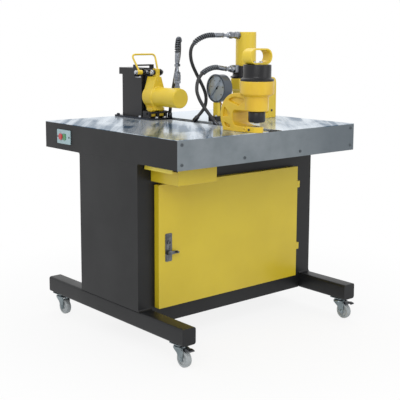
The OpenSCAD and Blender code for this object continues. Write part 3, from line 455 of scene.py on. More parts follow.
def placeGroup(tree, key, **values):
    # the outputs of a placed group whose inputs get these values
    made = tree.nodes.new("ShaderNodeGroup")
    made.node_tree = groups[key]
    for label, value in values.items():
        made.inputs[label].default_value = value
    return made.outputs


def startMaterial(name, **sockets):
    material = bpy.data.materials.new(name)
    material.use_nodes = True
    tree = material.node_tree
    shader = tree.nodes["Principled BSDF"].inputs
    for label, value in sockets.items():
        shader[label.replace("_", " ")].default_value = value
    return material, tree, shader


def bump(tree, shader, height, distance):
    made = node(tree, "ShaderNodeBump", {"Height": height, "Strength": 1.0, "Distance": distance})
    feed(tree, shader["Normal"], made.outputs[0])


def srgb(r, g, b):
    # display colour, 0 to 255, to the linear colour that a shader takes
    c = np.array([r, g, b]) / 255
    return tuple(np.where(c <= 0.04045, c / 12.92, ((c + 0.055) / 1.055) ** 2.4)) + (1.0,)


def tintPatches(tree, skin, colour, tint):
    return mixColour(tree, ramp(tree, skin["Patch"], 0.0, 1.0, 0.35, 0.65), colour, tint)


def settleDust(tree, shader, colour, dustColour, **values):
    # gives the shader its colour with dust on top, and returns the dust's mask
    mask = placeGroup(tree, "dust", **values)["Mask"]
    feed(tree, shader["Base Color"], mixColour(tree, mask, colour, dustColour))
    return mask


def paint(name, colour, under, tint, rough=(0.28, 0.42), grain=900.0, grainDepth=2e-5, wear=0.5, dust=0.25,
          dustColour=srgb(170, 160, 140), coat=0.15, metallic=0.0, patches=5.0, shine=0.5):
    # sprayed paint: patches tint it, its grain is a low bump, edges are worn through and dust lies on top
    material, tree, shader = startMaterial(name, Metallic=metallic, Coat_Weight=coat, Coat_Roughness=0.12,
                                           Specular_IOR_Level=shine)
    skin = placeGroup(tree, "skin", Patches=patches, Grain=grain)
    edge = placeGroup(tree, "edge", Width=0.0012, Amount=wear, Breakup=45.0)
    bare = mixColour(tree, edge["Mask"], tintPatches(tree, skin, colour, tint), under)
    settled = settleDust(tree, shader, bare, dustColour, Amount=dust, Patches=9.0)
    feed(tree, shader["Roughness"], plus(tree, ramp(tree, skin["Patch"], *rough), times(tree, settled, 0.4)))
    bump(tree, shader, skin["Grain"], grainDepth)
    return material


def metal(name, colour, tint, rough=(0.22, 0.4), stretch=(2.0, 700.0, 700.0), depth=1.5e-5, dust=0.1,
          patches=7.0, metallic=1.0, wear=0.0, under=(0.8, 0.8, 0.8, 1.0), paintedDarkening=None, paintedDarkeningFrom=(0.0, 1.0)):
    # bare or plated metal: brushed lines vary roughness and height, patches tint it; a darker colour, painted
    # reflection of dark surroundings, takes over between two places on X, in metres, of a long sheet
    material, tree, shader = startMaterial(name, Metallic=metallic)
    skin = placeGroup(tree, "skin", Patches=patches, Grain=1200.0)
    lines = placeGroup(tree, "brush", Stretch=stretch)
    tinted = tintPatches(tree, skin, colour, tint)
    if wear:
        edge = placeGroup(tree, "edge", Width=0.0010, Amount=wear, Breakup=60.0)
        tinted = mixColour(tree, edge["Mask"], tinted, under)
    # painted reflection: the sheet darkens towards one end on X
    if paintedDarkening:
        x = node(tree, "ShaderNodeSeparateXYZ", {"Vector": objectSpot(tree)}).outputs["X"]
        tinted = mixColour(tree, ramp(tree, x, 0.0, 1.0, *paintedDarkeningFrom, smooth=True), tinted, paintedDarkening)
    settleDust(tree, shader, tinted, srgb(120, 115, 105), Amount=dust, Patches=12.0)
    feed(tree, shader["Roughness"], plus(tree, ramp(tree, skin["Patch"], *rough),
                                         ramp(tree, lines["Lines"], -0.06, 0.06), clamp=True))
    bump(tree, shader, lines["Lines"], depth)
    return material


def rubber(name, colour, tint, rough=(0.45, 0.62), depth=4e-5, dust=0.2, coat=0.0):
    # rubber, plastic or print: a fine grain, soft patches and a little dust
    material, tree, shader = startMaterial(name, Coat_Weight=coat)
    skin = placeGroup(tree, "skin", Patches=14.0, Grain=1400.0)
    tinted = tintPatches(tree, skin, colour, tint)
    settleDust(tree, shader, tinted, srgb(120, 118, 112), Amount=dust, Patches=20.0)
    feed(tree, shader["Roughness"], ramp(tree, skin["Patch"], *rough))
    bump(tree, shader, skin["Grain"], depth)
    return material


def polishedSheet(name, paintedBrightReflection, paintedDarkReflection, slant, streak, patch, left, right, front):
    # rolled sheet with a milky shine whose colour is painted reflection: along streaks in one slanting
    # direction and in broad patches it goes from a painted bright reflection to a painted dark blue
    # reflection of the surroundings, most of all on the left and at the right front, where left and right are
    # two places on X and front two on Y, in metres; the blue tint of its shine is painted reflection too; it
    # is slightly wavy, and the streaks lift its roughness
    material, tree, shader = startMaterial(name, Metallic=0.7, Specular_IOR_Level=0.0,
                                           Specular_Tint=(0.86, 0.91, 0.96, 1.0))
    spot = objectSpot(tree)
    turned = node(tree, "ShaderNodeMapping", {"Vector": spot,
                                              "Rotation": (0.0, 0.0, math.radians(slant))}).outputs[0]
    streaks = noise(tree, stretched(tree, turned, streak), 1.0, 4.0, 0.55)
    patches = noise(tree, stretched(tree, turned, patch), 1.0, 3.0)
    both = times(tree, ramp(tree, patches, 0.4, 1.0, 0.44, 0.54), ramp(tree, streaks, 0.3, 1.0, 0.38, 0.6))
    where = node(tree, "ShaderNodeSeparateXYZ", {"Vector": spot}).outputs
    rightFront = times(tree, ramp(tree, where["X"], 0.3, 1.2, *right, smooth=True),
                       ramp(tree, where["Y"], 0.0, 1.0, *front, smooth=True))
    # painted reflection: the dark blue gathers on the left and at the right front
    reflectionZone = plus(tree, ramp(tree, where["X"], 0.0, 1.0, *left, smooth=True), rightFront)
    paintedReflectionColour = mixColour(tree, times(tree, both, reflectionZone, clamp=True), paintedBrightReflection, paintedDarkReflection)
    settleDust(tree, shader, paintedReflectionColour, srgb(150, 148, 142), Amount=0.05, Patches=12.0)
    lines = placeGroup(tree, "brush", Stretch=(2.0, 260.0, 260.0))
    feed(tree, shader["Roughness"], plus(tree, ramp(tree, streaks, 0.09, 0.2),
                                         ramp(tree, lines["Lines"], -0.02, 0.03), clamp=True))
    bump(tree, shader, plus(tree, times(tree, lines["Lines"], 0.004), noise(tree, spot, 9.0, 2.0)), 5e-4)
    return material


def glass(name):
    # clear glass with a trace of smears in its roughness
    material, tree, shader = startMaterial(name, Transmission_Weight=1.0, IOR=1.45,
                                           Base_Color=(0.96, 0.98, 1.0, 1.0))
    skin = placeGroup(tree, "skin", Patches=30.0, Grain=900.0)
    feed(tree, shader["Roughness"], ramp(tree, skin["Patch"], 0.0, 0.06, 0.45, 0.7))
    return material


even = (300.0, 300.0, 300.0)      # brushed lines this short in every direction are an even grain
paints = {
    "castYellow": dict(colour=srgb(228, 191, 38), under=srgb(120, 104, 66), tint=srgb(218, 176, 30),
                       wear=0.12, grain=240.0, grainDepth=1.6e-4, dust=0.08, rough=(0.3, 0.44), coat=0.25,
                       patches=9.0),
    "toolYellow": dict(colour=srgb(232, 202, 52), under=srgb(100, 92, 70), tint=srgb(224, 190, 42),
                       wear=0.3, grain=260.0, grainDepth=1.2e-4, dust=0.08, rough=(0.32, 0.46)),
    "smoothYellow": dict(colour=srgb(232, 204, 56), under=srgb(104, 96, 76), tint=srgb(228, 196, 48),
                         wear=0.25, grain=500.0, grainDepth=4e-5, dust=0.08),
    "doorYellow": dict(colour=srgb(212, 188, 36), under=srgb(130, 122, 92), tint=srgb(203, 178, 32),
                       wear=0.2, grain=420.0, grainDepth=3e-5, dust=0.08, rough=(0.3, 0.4), patches=3.0),
    # a lighter copy of the tray's yellow: painted light on the lip that catches more light
    "paintedLitYellow": dict(colour=srgb(246, 226, 84), under=srgb(130, 122, 92), tint=srgb(240, 218, 74),
                      wear=0.1, grain=420.0, grainDepth=3e-5, dust=0.05, rough=(0.3, 0.4)),
    "blackPaint": dict(colour=srgb(26, 27, 29), under=srgb(74, 74, 76), tint=srgb(22, 23, 25), wear=0.2,
                       grain=420.0, grainDepth=2.5e-5, dust=0.05, rough=(0.34, 0.46), coat=0.0, shine=0.3,
                       dustColour=srgb(90, 88, 84)),
    "innerBlack": dict(colour=srgb(15, 15, 17), under=srgb(60, 60, 62), tint=srgb(13, 13, 15), wear=0.1,
                       dust=0.02, rough=(0.6, 0.75), coat=0.0, shine=0.1),
    "blackSteel": dict(colour=srgb(21, 21, 24), under=srgb(90, 90, 92), tint=srgb(27, 27, 30), wear=0.3,
                       dust=0.05, rough=(0.26, 0.4), coat=0.0, shine=0.35, dustColour=srgb(80, 78, 74)),
    "gaugeGrey": dict(colour=srgb(78, 86, 96), under=srgb(150, 152, 156), tint=srgb(66, 74, 84), dust=0.05,
                      rough=(0.3, 0.45), coat=0.2, metallic=0.4),
    "tankGrey": dict(colour=srgb(120, 128, 136), under=srgb(150, 150, 150), tint=srgb(108, 116, 124),
                     coat=0.1),
    "motorGrey": dict(colour=srgb(96, 106, 118), under=srgb(150, 150, 150), tint=srgb(84, 94, 104), coat=0.1,
                      grain=300.0, grainDepth=1e-4),
}
metals = {
    "darkPlate": dict(colour=srgb(66, 68, 74), tint=srgb(50, 52, 58), rough=(0.08, 0.18), depth=2e-6,
                      dust=0.03, stretch=(4.0, 500.0, 500.0)),
    "lockSteel": dict(colour=srgb(112, 114, 116), tint=srgb(78, 80, 84), rough=(0.22, 0.36), patches=60.0,
                      stretch=even, wear=0.4, under=srgb(200, 202, 206)),
    "brass": dict(colour=srgb(176, 132, 78), tint=srgb(122, 84, 52), rough=(0.25, 0.4), patches=50.0,
                  stretch=(200.0, 200.0, 200.0)),
    # the apron darkens towards the right: painted reflection of dark surroundings
    "galvanised": dict(colour=srgb(132, 139, 144), tint=srgb(120, 128, 133), rough=(0.36, 0.52), depth=1e-5,
                       dust=0.04, patches=9.0, stretch=(30.0, 30.0, 60.0), metallic=0.8,
                       paintedDarkening=srgb(104, 112, 118), paintedDarkeningFrom=(0.02, 0.40)),
    "toolSteel": dict(colour=srgb(170, 172, 176), tint=srgb(140, 142, 148), rough=(0.2, 0.35)),
    "zinc": dict(colour=srgb(206, 208, 212), tint=srgb(172, 176, 182), rough=(0.2, 0.34), depth=6e-6,
                 patches=30.0, stretch=even),
    "casterSteel": dict(colour=srgb(140, 151, 155), tint=srgb(108, 119, 123), rough=(0.28, 0.42),
                        patches=20.0, stretch=(200.0, 200.0, 200.0), metallic=0.85, wear=0.3),
    "plated": dict(colour=srgb(150, 154, 160), tint=srgb(112, 116, 124), rough=(0.16, 0.3), depth=6e-6,
                   patches=40.0, stretch=even),
    "guardWire": dict(colour=srgb(122, 126, 132), tint=srgb(84, 88, 94), rough=(0.16, 0.28), stretch=even),
    # a darker copy of zinc: painted shade for screw heads that sit in shadow
    "paintedShadeZinc": dict(colour=srgb(104, 110, 114), tint=srgb(84, 90, 94), rough=(0.3, 0.45), depth=6e-6,
                     stretch=even),
    "darkFitting": dict(colour=srgb(86, 88, 92), tint=srgb(54, 56, 60), rough=(0.24, 0.4), patches=40.0,
                        stretch=even),
    "blockAluminium": dict(colour=srgb(196, 198, 202), tint=srgb(178, 180, 186), rough=(0.3, 0.42)),
}
plastics = {
    "wheelPlastic": dict(colour=srgb(176, 182, 184), tint=srgb(154, 161, 164), rough=(0.4, 0.55), dust=0.4),
    "hoseRubber": dict(colour=srgb(31, 31, 33), tint=srgb(40, 40, 42), rough=(0.35, 0.5), dust=0.08),
    "switchGrey": dict(colour=srgb(170, 196, 202), tint=srgb(158, 184, 190), rough=(0.35, 0.45)),
    "buttonGreen": dict(colour=srgb(70, 146, 88), tint=srgb(60, 134, 78), rough=(0.25, 0.35),
                        dust=0.05, coat=0.3),
    "buttonRed": dict(colour=srgb(204, 52, 60), tint=srgb(188, 42, 50), rough=(0.25, 0.35),
                      dust=0.05, coat=0.3),
    "dialWhite": dict(colour=srgb(188, 199, 210), tint=srgb(176, 188, 200), rough=(0.5, 0.6),
                      dust=0.0, depth=1e-6),
    "printBlack": dict(colour=srgb(30, 32, 36), tint=srgb(26, 28, 30), rough=(0.5, 0.6),
                       dust=0.0, depth=1e-6),
    "oilAmber": dict(colour=srgb(198, 150, 48), tint=srgb(176, 126, 34), rough=(0.06, 0.14),
                     dust=0.0, depth=1e-6, coat=0.6),
    "valveBlack": dict(colour=srgb(36, 36, 38), tint=srgb(44, 44, 46), rough=(0.4, 0.5)),
}
finishes = {
    # the polished top's two colours are painted reflections, bright ones and dark blue ones of the
    # surroundings
    "polished": polishedSheet("polished", paintedBrightReflection=srgb(238, 244, 250), paintedDarkReflection=srgb(66, 96, 122), slant=-49.6,
                              streak=(1.5, 26.0, 26.0), patch=(2.2, 7.0, 7.0), left=(-0.04, -0.20),
                              right=(0.06, 0.30), front=(0.22, 0.02)),
    "clearGlass": glass("clearGlass"),
}
for make, table in ((paint, paints), (metal, metals), (rubber, plastics)):
    finishes.update({name: make(name, **look) for name, look in table.items()})
print("machine: finishes made")

# hoses

# side is a direction that the hose never follows, and guard is the length of the spring around its start; the
# route runs from the ferrule on the tool to the one at the table
hoses = {
    "bender": {"side": (0.65, -0.76, 0.05), "guard": 118, "route": [
        [405, 503, 1106], [406, 504, 1120], [410.5, 508, 1132.5], [424.5, 521, 1152], [443, 540, 1159],
        [461.5, 559.5, 1152], [474.5, 574, 1132.5], [478.5, 580, 1106], [477.5, 583.5, 1079],
        [475.5, 590.5, 1048], [473, 598.5, 1012], [472, 607.5, 976], [471, 616, 940], [471, 624, 908],
        [472.5, 632, 876], [475, 640, 846]]},
    "upper": {"side": (0, 1, 0), "guard": 112, "route": [
        [530, 419, 1176], [508, 419, 1176], [484, 421, 1172], [460, 424, 1163], [439, 428, 1149],
        [425, 433, 1130], [422, 438, 1106], [429, 443, 1077], [444, 448, 1049], [464, 453, 1022],
        [484, 457, 996], [504, 461, 970], [521, 465, 945], [532, 469, 921], [537, 475, 898],
        [535, 481, 876], [526, 489, 856], [513, 497, 838]]},
    "lower": {"side": (0, 1, 0), "guard": 96, "route": [
        [552, 419, 1044], [532, 419, 1044], [510, 418, 1040], [488, 417, 1033], [467, 415, 1022],
        [449, 412, 1008], [436, 409, 991], [428, 405, 972], [425, 401, 950], [428, 395, 929],
        [434, 387, 908], [442, 377, 888], [451, 365, 868], [460, 353, 849], [467, 342, 831]]},
}
hoseRadius, pathStep = 7.0, 3.0
guardCoil = {"radius": 9.3, "wire": 2.1, "pitch": 9.4}
for name, hose in hoses.items():
    line, length = smoothPath(hose["route"], pathStep)
    tube = addPiece("hose_" + name + "_tube", [sweep(line, hoseRadius, hose["side"])], "hoseRubber", "frame",
                    "hose_rubber", smooth=60, replaced=["hose_" + name])
    guarded = line[:int(hose["guard"] / pathStep)]
    addPiece("hose_" + name + "_guard", [coil(guarded, hose["side"], **guardCoil)], "guardWire", "frame",
             "zinc", smooth=60)
print("machine: hoses made")

# hose fittings

benderX, portY = 405.0, 419.0      # middle of the bending cylinder, and both ports of the cutter
upward, leftward, rightward, frontward = (0, 0, 1), (-1, 0, 0), (1, 0, 0), (0, -1, 0)
ferrule = {"radius": 10.0, "crimps": 8, "depth": 0.45}


def crimped(spot, axis, length, sides=64):
    # a ferrule: its radius swells from the stem, stays level, and dips where the jaws pressed it, that is
    # where the cosine of crimps times the angle is high
    far = np.array([0.0, 0.03, 0.1, 0.16, 0.2, 0.8, 0.84, 0.93, 0.97, 1.0]) * length
    swell = np.array([0.72, 0.84, 0.93, 0.97, 1.0, 1.0, 0.95, 0.97, 0.95, 0.8])
    pressed = np.array([0, 0, 0, 0.2, 1.0, 1.0, 0.2, 0, 0, 0])
    dip = ferrule["depth"] * np.clip(np.cos(ferrule["crimps"] * angles(sides)), 0, 1) ** 0.5
    radius = ferrule["radius"] * swell[:, None] - pressed[:, None] * dip[None]
    return lathe(list(zip(far, radius)), spot, axis, sides)


def ringed(spot, axis, length, radius, grooves=3):
    # a round coupling sleeve: chamfered ends and narrow grooves at even steps between them
    profile = [(0, radius * 0.88), (length * 0.06, radius)]
    for middle in np.linspace(0.2, 0.8, grooves):
        profile += [(length * (middle - 0.045), radius), (length * (middle - 0.03), radius * 0.94),
                    (length * (middle + 0.03), radius * 0.94), (length * (middle + 0.045), radius)]
    profile += [(length * 0.94, radius), (length, radius * 0.88)]
    return lathe(profile, spot, axis)


def benderFitting():
    # upwards from the boss on the bending cylinder: stub, nut, coupling sleeve, nut, stem, nut and ferrule
    def at(z):
        return benderX, 503.0, z
    return [lathe([(0, 10.5), (2, 11), (7, 11), (8, 9), (24, 9)], at(959.5), upward),
            hexNut(at(979), upward, 13, 26), ringed(at(992), upward, 24, 14.5),
            hexNut(at(1016), upward, 9, 24),
            lathe([(0, 9.5), (2, 9.8), (5, 8), (12, 6.4), (27, 6.2)], at(1024), upward),
            hexNut(at(1048), upward, 11, 22.5), crimped(at(1059), upward, 47)]


def upperFitting():
    # leftwards from the top of the cutter's cylinder: stub, nut, sleeve, nut, stem, nut and ferrule
    def at(x):
        return x, portY, 1176.0
    return [lathe([(0, 14.5), (3, 15), (8, 15), (9, 12), (44, 12)], at(669.5), leftward),
            hexNut(at(659), leftward, 13, 25), ringed(at(646), leftward, 14, 12.5, 2),
            hexNut(at(632), leftward, 15, 25),
            lathe([(0, 11.5), (8, 12), (11, 9), (16, 6.6), (46, 6.2)], at(617), leftward),
            hexNut(at(584), leftward, 8, 18), crimped(at(576), leftward, 46)]


def lowerFitting():
    # leftwards from the block on the cutter's collar, bending a little upwards towards its ferrule
    return [hexNut((633, portY, 1036), leftward, 14, 23),
            lathe([(0, 11), (4, 11.5), (7, 8), (30, 6.5)], (619, portY, 1036), (-1, 0, 0.04)),
            hexNut((603, portY, 1036.6), (-1, 0, 0.1), 9, 18),
            crimped((594, portY, 1037), (-1, 0, 0.167), 43)]


def bulkheadFitting(x, y, end):
    # above the slot's plate a nut and a leaning ferrule, below it a threaded stub with its lock nut
    foot = np.array([x, y, 811.0])
    lean = np.asarray(end, float) - foot
    return [crimped(end, -lean, float(np.linalg.norm(lean)) * 0.78),
            lathe([(0, 6.4), (22, 6.4)], foot - unit(lean) * 7, unit(lean)),
            hexNut((x, y, 793), upward, 14, 24),
            lathe([(0, 10), (2, 10.5), (3, 8), (6, 7)], (x, y, 807), upward),
            lathe([(0, 6.8), (1, 7.6), (24, 7.6)], (x, y, 769), upward),
            hexNut((x, y, 779), upward, 11, 24)]


bulkheads = {"back": (475, 642, hoses["bender"]["route"][-1]),
             "middle": (492, 508, hoses["upper"]["route"][-1]),
             "front": (475, 326, hoses["lower"]["route"][-1])}
fittings = {"bender": benderFitting(), "upper": upperFitting(), "lower": lowerFitting()}
for name, shells in fittings.items():
    addPiece("fitting_" + name, shells, "plated", "frame", "zinc", smooth=28, replaced=["hydraulic_fittings"])
for name, hole in bulkheads.items():
    addPiece("fitting_bulkhead_" + name, bulkheadFitting(*hole), "darkFitting", "frame", "zinc", smooth=28,
             replaced=["hydraulic_fittings"])
addPiece("fitting_port_block", [boxShell((640, 403.4, 1020), (662, 434.6, 1052)),
                                lathe([(0, 12.4), (2, 14.6), (9, 15.6), (16, 14.6), (18, 12.4)],
                                      (642, portY, 1036), leftward)],
         "plated", "frame", "zinc", smooth=28, bevel=1.6, replaced=["hydraulic_fittings"])
print("machine: fittings made")

# screws

screwSizes = {
    "apron": {"radius": 6.0, "height": 2.2, "socket": 5.0},
    "plug": {"radius": 5.4, "height": 1.0, "socket": 4.8},
    "set": {"radius": 4.6, "height": 0.8, "socket": 4.2},
    "switch": {"radius": 3.4, "height": 1.8, "socket": 3.2},
    "base": {"radius": 6.6, "height": 5.0, "socket": 6.0, "washer": 8.6, "thick": 1.4, "lift": 1.2},
    "gauge": {"radius": 4.6, "height": 4.0, "socket": 4.2, "washer": 5.6, "thick": 1.0, "lift": 1.0},
    "handle": {"radius": 7.0, "height": 5.0, "socket": 6.2, "washer": 9.0, "thick": 1.4, "lift": 1.2},
    "tank": {"radius": 4.5, "height": 4.0, "socket": 4.4},
    "terminal": {"radius": 3.4, "height": 2.0, "socket": 3.2},
    "valve": {"radius": 3.2, "height": 3.0, "socket": 3.0},
}
# x and z of the screws in the apron, and x and y of those in the bender's base
apronSpots = ((20, 732), (20, 803), (318, 732), (613, 732), (910, 732), (910, 803))
baseSpots = {"rear": ((357, 858), (453, 858)), "front": ((357, 696), (453, 696), (384, 616), (426, 616))}


def capScrew(spot, axis, size, sides=36):
    # a round head with a chamfered rim and a hexagonal socket sunk about two thirds of its height
    r, h = size["radius"], size["height"]
    socket = hexRadius(angles(sides), size["socket"])
    return lathe([(0, r), (h * 0.8, r), (h, r * 0.88), (h, socket * 1.06), (h * 0.94, socket),
                  (h * 0.35, socket), (h * 0.3, socket * 0.5), (h * 0.28, socket * 0.05)], spot, axis, sides)


def washer(spot, axis, radius, thick):
    return lathe([(0, radius * 0.96), (thick * 0.3, radius), (thick * 0.8, radius), (thick, radius * 0.95)],
                 spot, axis, 36)


def standingScrew(x, y, z, size):
    # a cap screw on its washer
    return [washer((x, y, z), upward, size["washer"], size["thick"]),
            capScrew((x, y, z + size["lift"]), upward, size)]


bail = {"y": 697.0, "z": 1019.0, "bolt": 63.0, "foot": (50.5, 701.5, 1028), "knee": (60.5, 731, 1082),
        "top": (53.5, 735, 1093), "wire": 4.0, "bend": 13.0}


def bailSpot(fromMiddle):
    return benderX + fromMiddle, bail["y"], bail["z"]


apronScrews = [capScrew((x, 0.2, z), frontward, screwSizes["apron"]) for x, z in apronSpots]
darkScrews = [capScrew((846, 393.2, 852), frontward, screwSizes["plug"]),
              capScrew((356.2, 22.0, 830.5), (-0.984, -0.177, 0), screwSizes["set"])]
darkScrews += [capScrew((-3.8, switch["y"] + side * switch["screwY"], switch["z"]), leftward,
                        screwSizes["switch"]) for side in (-1, 1)]
for x, y in baseSpots["rear"]:
    darkScrews += standingScrew(x, y, 828, screwSizes["base"])
screws = []
for x, y in baseSpots["front"]:
    screws += standingScrew(x, y, 828, screwSizes["base"])
for y in (408, 442):
    screws += standingScrew(535, y, 842, screwSizes["gauge"])
for x in (367, 403):
    screws += standingScrew(x, 10, 1077, screwSizes["handle"])
# the bail's long bolt with its nuts, the key under its sleeve, and the nuts on the upper link
for side in (-1, 1):
    screws += [washer(bailSpot(side * 63.4), (side, 0, 0), 9.2, 1.6),
               hexNut(bailSpot(side * 64.8), (side, 0, 0), 8.6, 14)]
screws += [lathe([(0, 5), (2 * bail["bolt"], 5)], bailSpot(-bail["bolt"]), rightward, 24),
           boxShell((365.4, 702, 996), (368.4, 740, 1001))]
for y, wide in ((650, 17), (688, 15)):
    screws += [washer((389.2, y, bail["z"]), leftward, wide * 0.62, 1.6),
               hexNut((387.8, y, bail["z"]), leftward, 7.5, wide),
               lathe([(0, 4.2), (3, 4.2), (3.6, 3.6)], (380.5, y, bail["z"]), leftward, 24)]
# the apron's screw heads take a darker zinc, painted shade
for name, heads, finish in (("screw_heads", screws, "zinc"), ("screw_heads_apron", apronScrews, "paintedShadeZinc"),
                            ("screw_heads_dark", darkScrews, "darkFitting")):
    addPiece(name, heads, finish, "frame", "zinc", smooth=30, replaced=["bolts"])
print("machine: screws made")

# bail of the bender


def bailCorner(key, side):
    return [benderX + side * bail[key][0], bail[key][1], bail[key][2]]


bailPath = roundedPath([bailCorner(key, -1) for key in ("foot", "knee", "top")]
                       + [bailCorner(key, 1) for key in ("top", "knee", "foot")], bail["bend"])
sleeveShape = [(-12.7, 5.2), (-12.7, 8.7), (-12.1, 9.5), (12.1, 9.5), (12.7, 8.7), (12.7, 5.2)]
weldShape = [(-2.6, 4.6), (-1.2, 5.9), (0.6, 6.2), (2.4, 4.8), (3.2, 3.9)]
sleeves = [lathe(sleeveShape, bailSpot(side * bail["foot"][0]), rightward, hollow=True) for side in (-1, 1)]
welds = [lathe(weldShape, np.array(bailCorner("foot", side)) + (0, -0.8, -1.6), (side * 0.16, 0.48, 0.86), 20)
         for side in (-1, 1)]
addPiece("bail_handle", [sweep(bailPath, bail["wire"], (0.02, -1, 0.5), 20)] + sleeves + welds,
         "smoothYellow", bodyOf["bender_bail"], "yellow_paint", smooth=40, replaced=["bender_bail"])
print("machine: bail made")

# gauge

gauge = {"face": (548.0, 425.0, 957.0), "start": 225.0, "turn": 270.0, "ticks": 51, "thick": 0.12,
         "numbers": (0, 20, 40, 60, 80, 100), "printX": 8.0, "outer": 50.0, "numberRadius": 35.5,
         "numberHeight": 8.5}
tickSizes = ((10, 9, 1.3), (5, 6, 0.6), (1, 4, 0.6))      # every how many ticks, length, width
needle = {"length": 42, "tail": 15, "lift": 5.6, "hub": 4.4}
pipe = {"x": 569.0, "y": 421.0, "foot": 842.0, "nut": 886.0, "neck": 894.0}
faceX, faceY, faceZ = gauge["face"]


def dialWay(angle):
    # a direction on the dial: the angle runs clockwise as the reader sees it, from lower left to lower right
    turn = math.radians(gauge["start"] - angle)
    return np.array([0.0, -math.cos(turn), math.sin(turn)])


def dialSpot(angle, radius):
    return np.array([faceX + gauge["printX"] - gauge["thick"], faceY, faceZ]) + radius * dialWay(angle)


def prism(corners, half):
    # a flat outline drawn out to both sides along a vector
    count = len(corners)
    sides = [[k, (k + 1) % count, (k + 1) % count + count, k + count] for k in range(count)]
    return (np.vstack([corners - half, corners + half]),
            [list(range(count)), list(range(2 * count - 1, count - 1, -1))] + sides)


def strip(a, b, width):
    # a flat bar from a to b, standing proud of the dial by its thickness
    across = unit(np.cross(b - a, rightward)) * width / 2
    return prism(np.array([a - across, a + across, b + across, b - across]), np.array([gauge["thick"], 0, 0]))


def tick(number):
    length, width = next(size[1:] for size in tickSizes if number % size[0] == 0)
    angle = gauge["turn"] * number / (gauge["ticks"] - 1)
    return strip(dialSpot(angle, gauge["outer"] - length), dialSpot(angle, gauge["outer"]), width)


def bakedMesh(piece):
    # a piece's shape with its modifiers or letter curves worked out
    bpy.context.view_layer.update()
    return bpy.data.meshes.new_from_object(piece.evaluated_get(bpy.context.evaluated_depsgraph_get()))


def numberShell(text, centre, height):
    # the built in letter shapes as a thin mesh, upright on the dial and centred on a point
    curve = bpy.data.curves.new("number" + text, "FONT")
    curve.body = text
    curve.size = height
    curve.extrude = gauge["thick"]
    curve.resolution_u = 3
    holder = bpy.data.objects.new("number" + text, curve)
    bpy.context.collection.objects.link(holder)
    mesh = bakedMesh(holder)
    flat = rawPoints(mesh)
    faces = [list(polygon.vertices) for polygon in mesh.polygons]
    bpy.data.objects.remove(holder)
    bpy.data.meshes.remove(mesh)
    bpy.data.curves.remove(curve)
    across, up, out = (flat - (flat.min(0) + flat.max(0)) / 2).T
    return np.stack([centre[0] - out, centre[1] - across, centre[2] + up], 1), faces


arc = [dialSpot(a, gauge["outer"]) for a in np.linspace(0, gauge["turn"], 91)]
marks = [tick(k) for k in range(gauge["ticks"])] + [strip(a, b, 0.7) for a, b in zip(arc[:-1], arc[1:])]
numbers = [numberShell(str(value), dialSpot(gauge["turn"] * value / 100, gauge["numberRadius"]),
                       gauge["numberHeight"]) for value in gauge["numbers"]]
addPiece("gauge_print", marks + numbers, "printBlack", "frame", "dial_white", smooth=20)
addPiece("gauge_glass", [lathe([(-0.4, 0.01), (-0.3, 20), (0.1, 40), (0.8, 52.4), (1.2, 54.4), (2.8, 54.4),
                                (2.6, 40), (2.4, 20), (2.3, 0.01)], gauge["face"], rightward, 64)],
         "clearGlass", "frame", "dial_white", smooth=40)
foot, nut, neck = ((pipe["x"], pipe["y"], pipe[level]) for level in ("foot", "nut", "neck"))
addPiece("gauge_pipe", [lathe([(0, 7), (3, 7.5), (4, 5), (46, 5)], foot, upward, 32)], "blackSteel", "frame",
         "black_steel")
addPiece("gauge_union", [hexNut(nut, upward, 9, 14), lathe([(0, 5.6), (7, 5.6), (8, 5)], neck, upward, 32)],
         "brass", "frame", "tool_steel", smooth=28)
# the pointer's outline, with its tail, its middle and its tip
way = dialWay(0)
square = np.cross(way, rightward)
blade = np.array([way * -needle["tail"] + square * 1.8, way * -needle["tail"] - square * 1.8, -square * 1.1,
                  way * needle["length"] - square * 0.4, way * needle["length"] + square * 0.4, square * 1.1])
addPiece("gauge_pointer", [prism(blade + (faceX + needle["lift"], faceY, faceZ), np.array([0.4, 0, 0])),
                           lathe([(0, 3.4), (0.5, 4.4), (1.6, 4.6), (2.0, 4.2), (2.2, 1.5), (7.5, 1.5)],
                                 (faceX + needle["hub"], faceY, faceZ), rightward, 32)],
         "printBlack", bodyOf["gauge_needle"], "needle_black", smooth=30, replaced=["gauge_needle"])
print("machine: gauge made")

# cast pieces

castings = {"punch_frame": {"finish": "castYellow", "grid": 1.7, "rounds": 7},
            "bender_head": {"finish": "toolYellow", "grid": 1.5, "rounds": 6},
            "cutter_body": {"finish": "toolYellow", "grid": 1.8, "rounds": 3}}
spine = {"grow": 8.0, "from": (398.0, 62.0, 935.0), "fade": (14.0, 14.0, -20.0)}
nose = {"x": 385.0, "y": 10.0, "top": 842.6, "narrow": 0.17, "shorten": 0.05, "from": 34.0, "to": 12.0}


def castNode(name, finish, grid, rounds):
    # a cast piece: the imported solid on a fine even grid, every point moved a few times halfway to its
    # neighbours' middle, so that outer edges and inner corners both get a small radius
    piece = finishNode(name, finish)
    remesh = piece.modifiers.new("evenGrid", "REMESH")
    remesh.mode = "VOXEL"
    remesh.voxel_size = grid * 0.001
    remesh.use_smooth_shade = True
    soft = piece.modifiers.new("softCorners", "SMOOTH")
    soft.factor = 0.5
    soft.iterations = rounds
    mesh = bakedMesh(piece)
    piece.modifiers.clear()
    piece.data = mesh
    mesh.shade_smooth()
    return piece


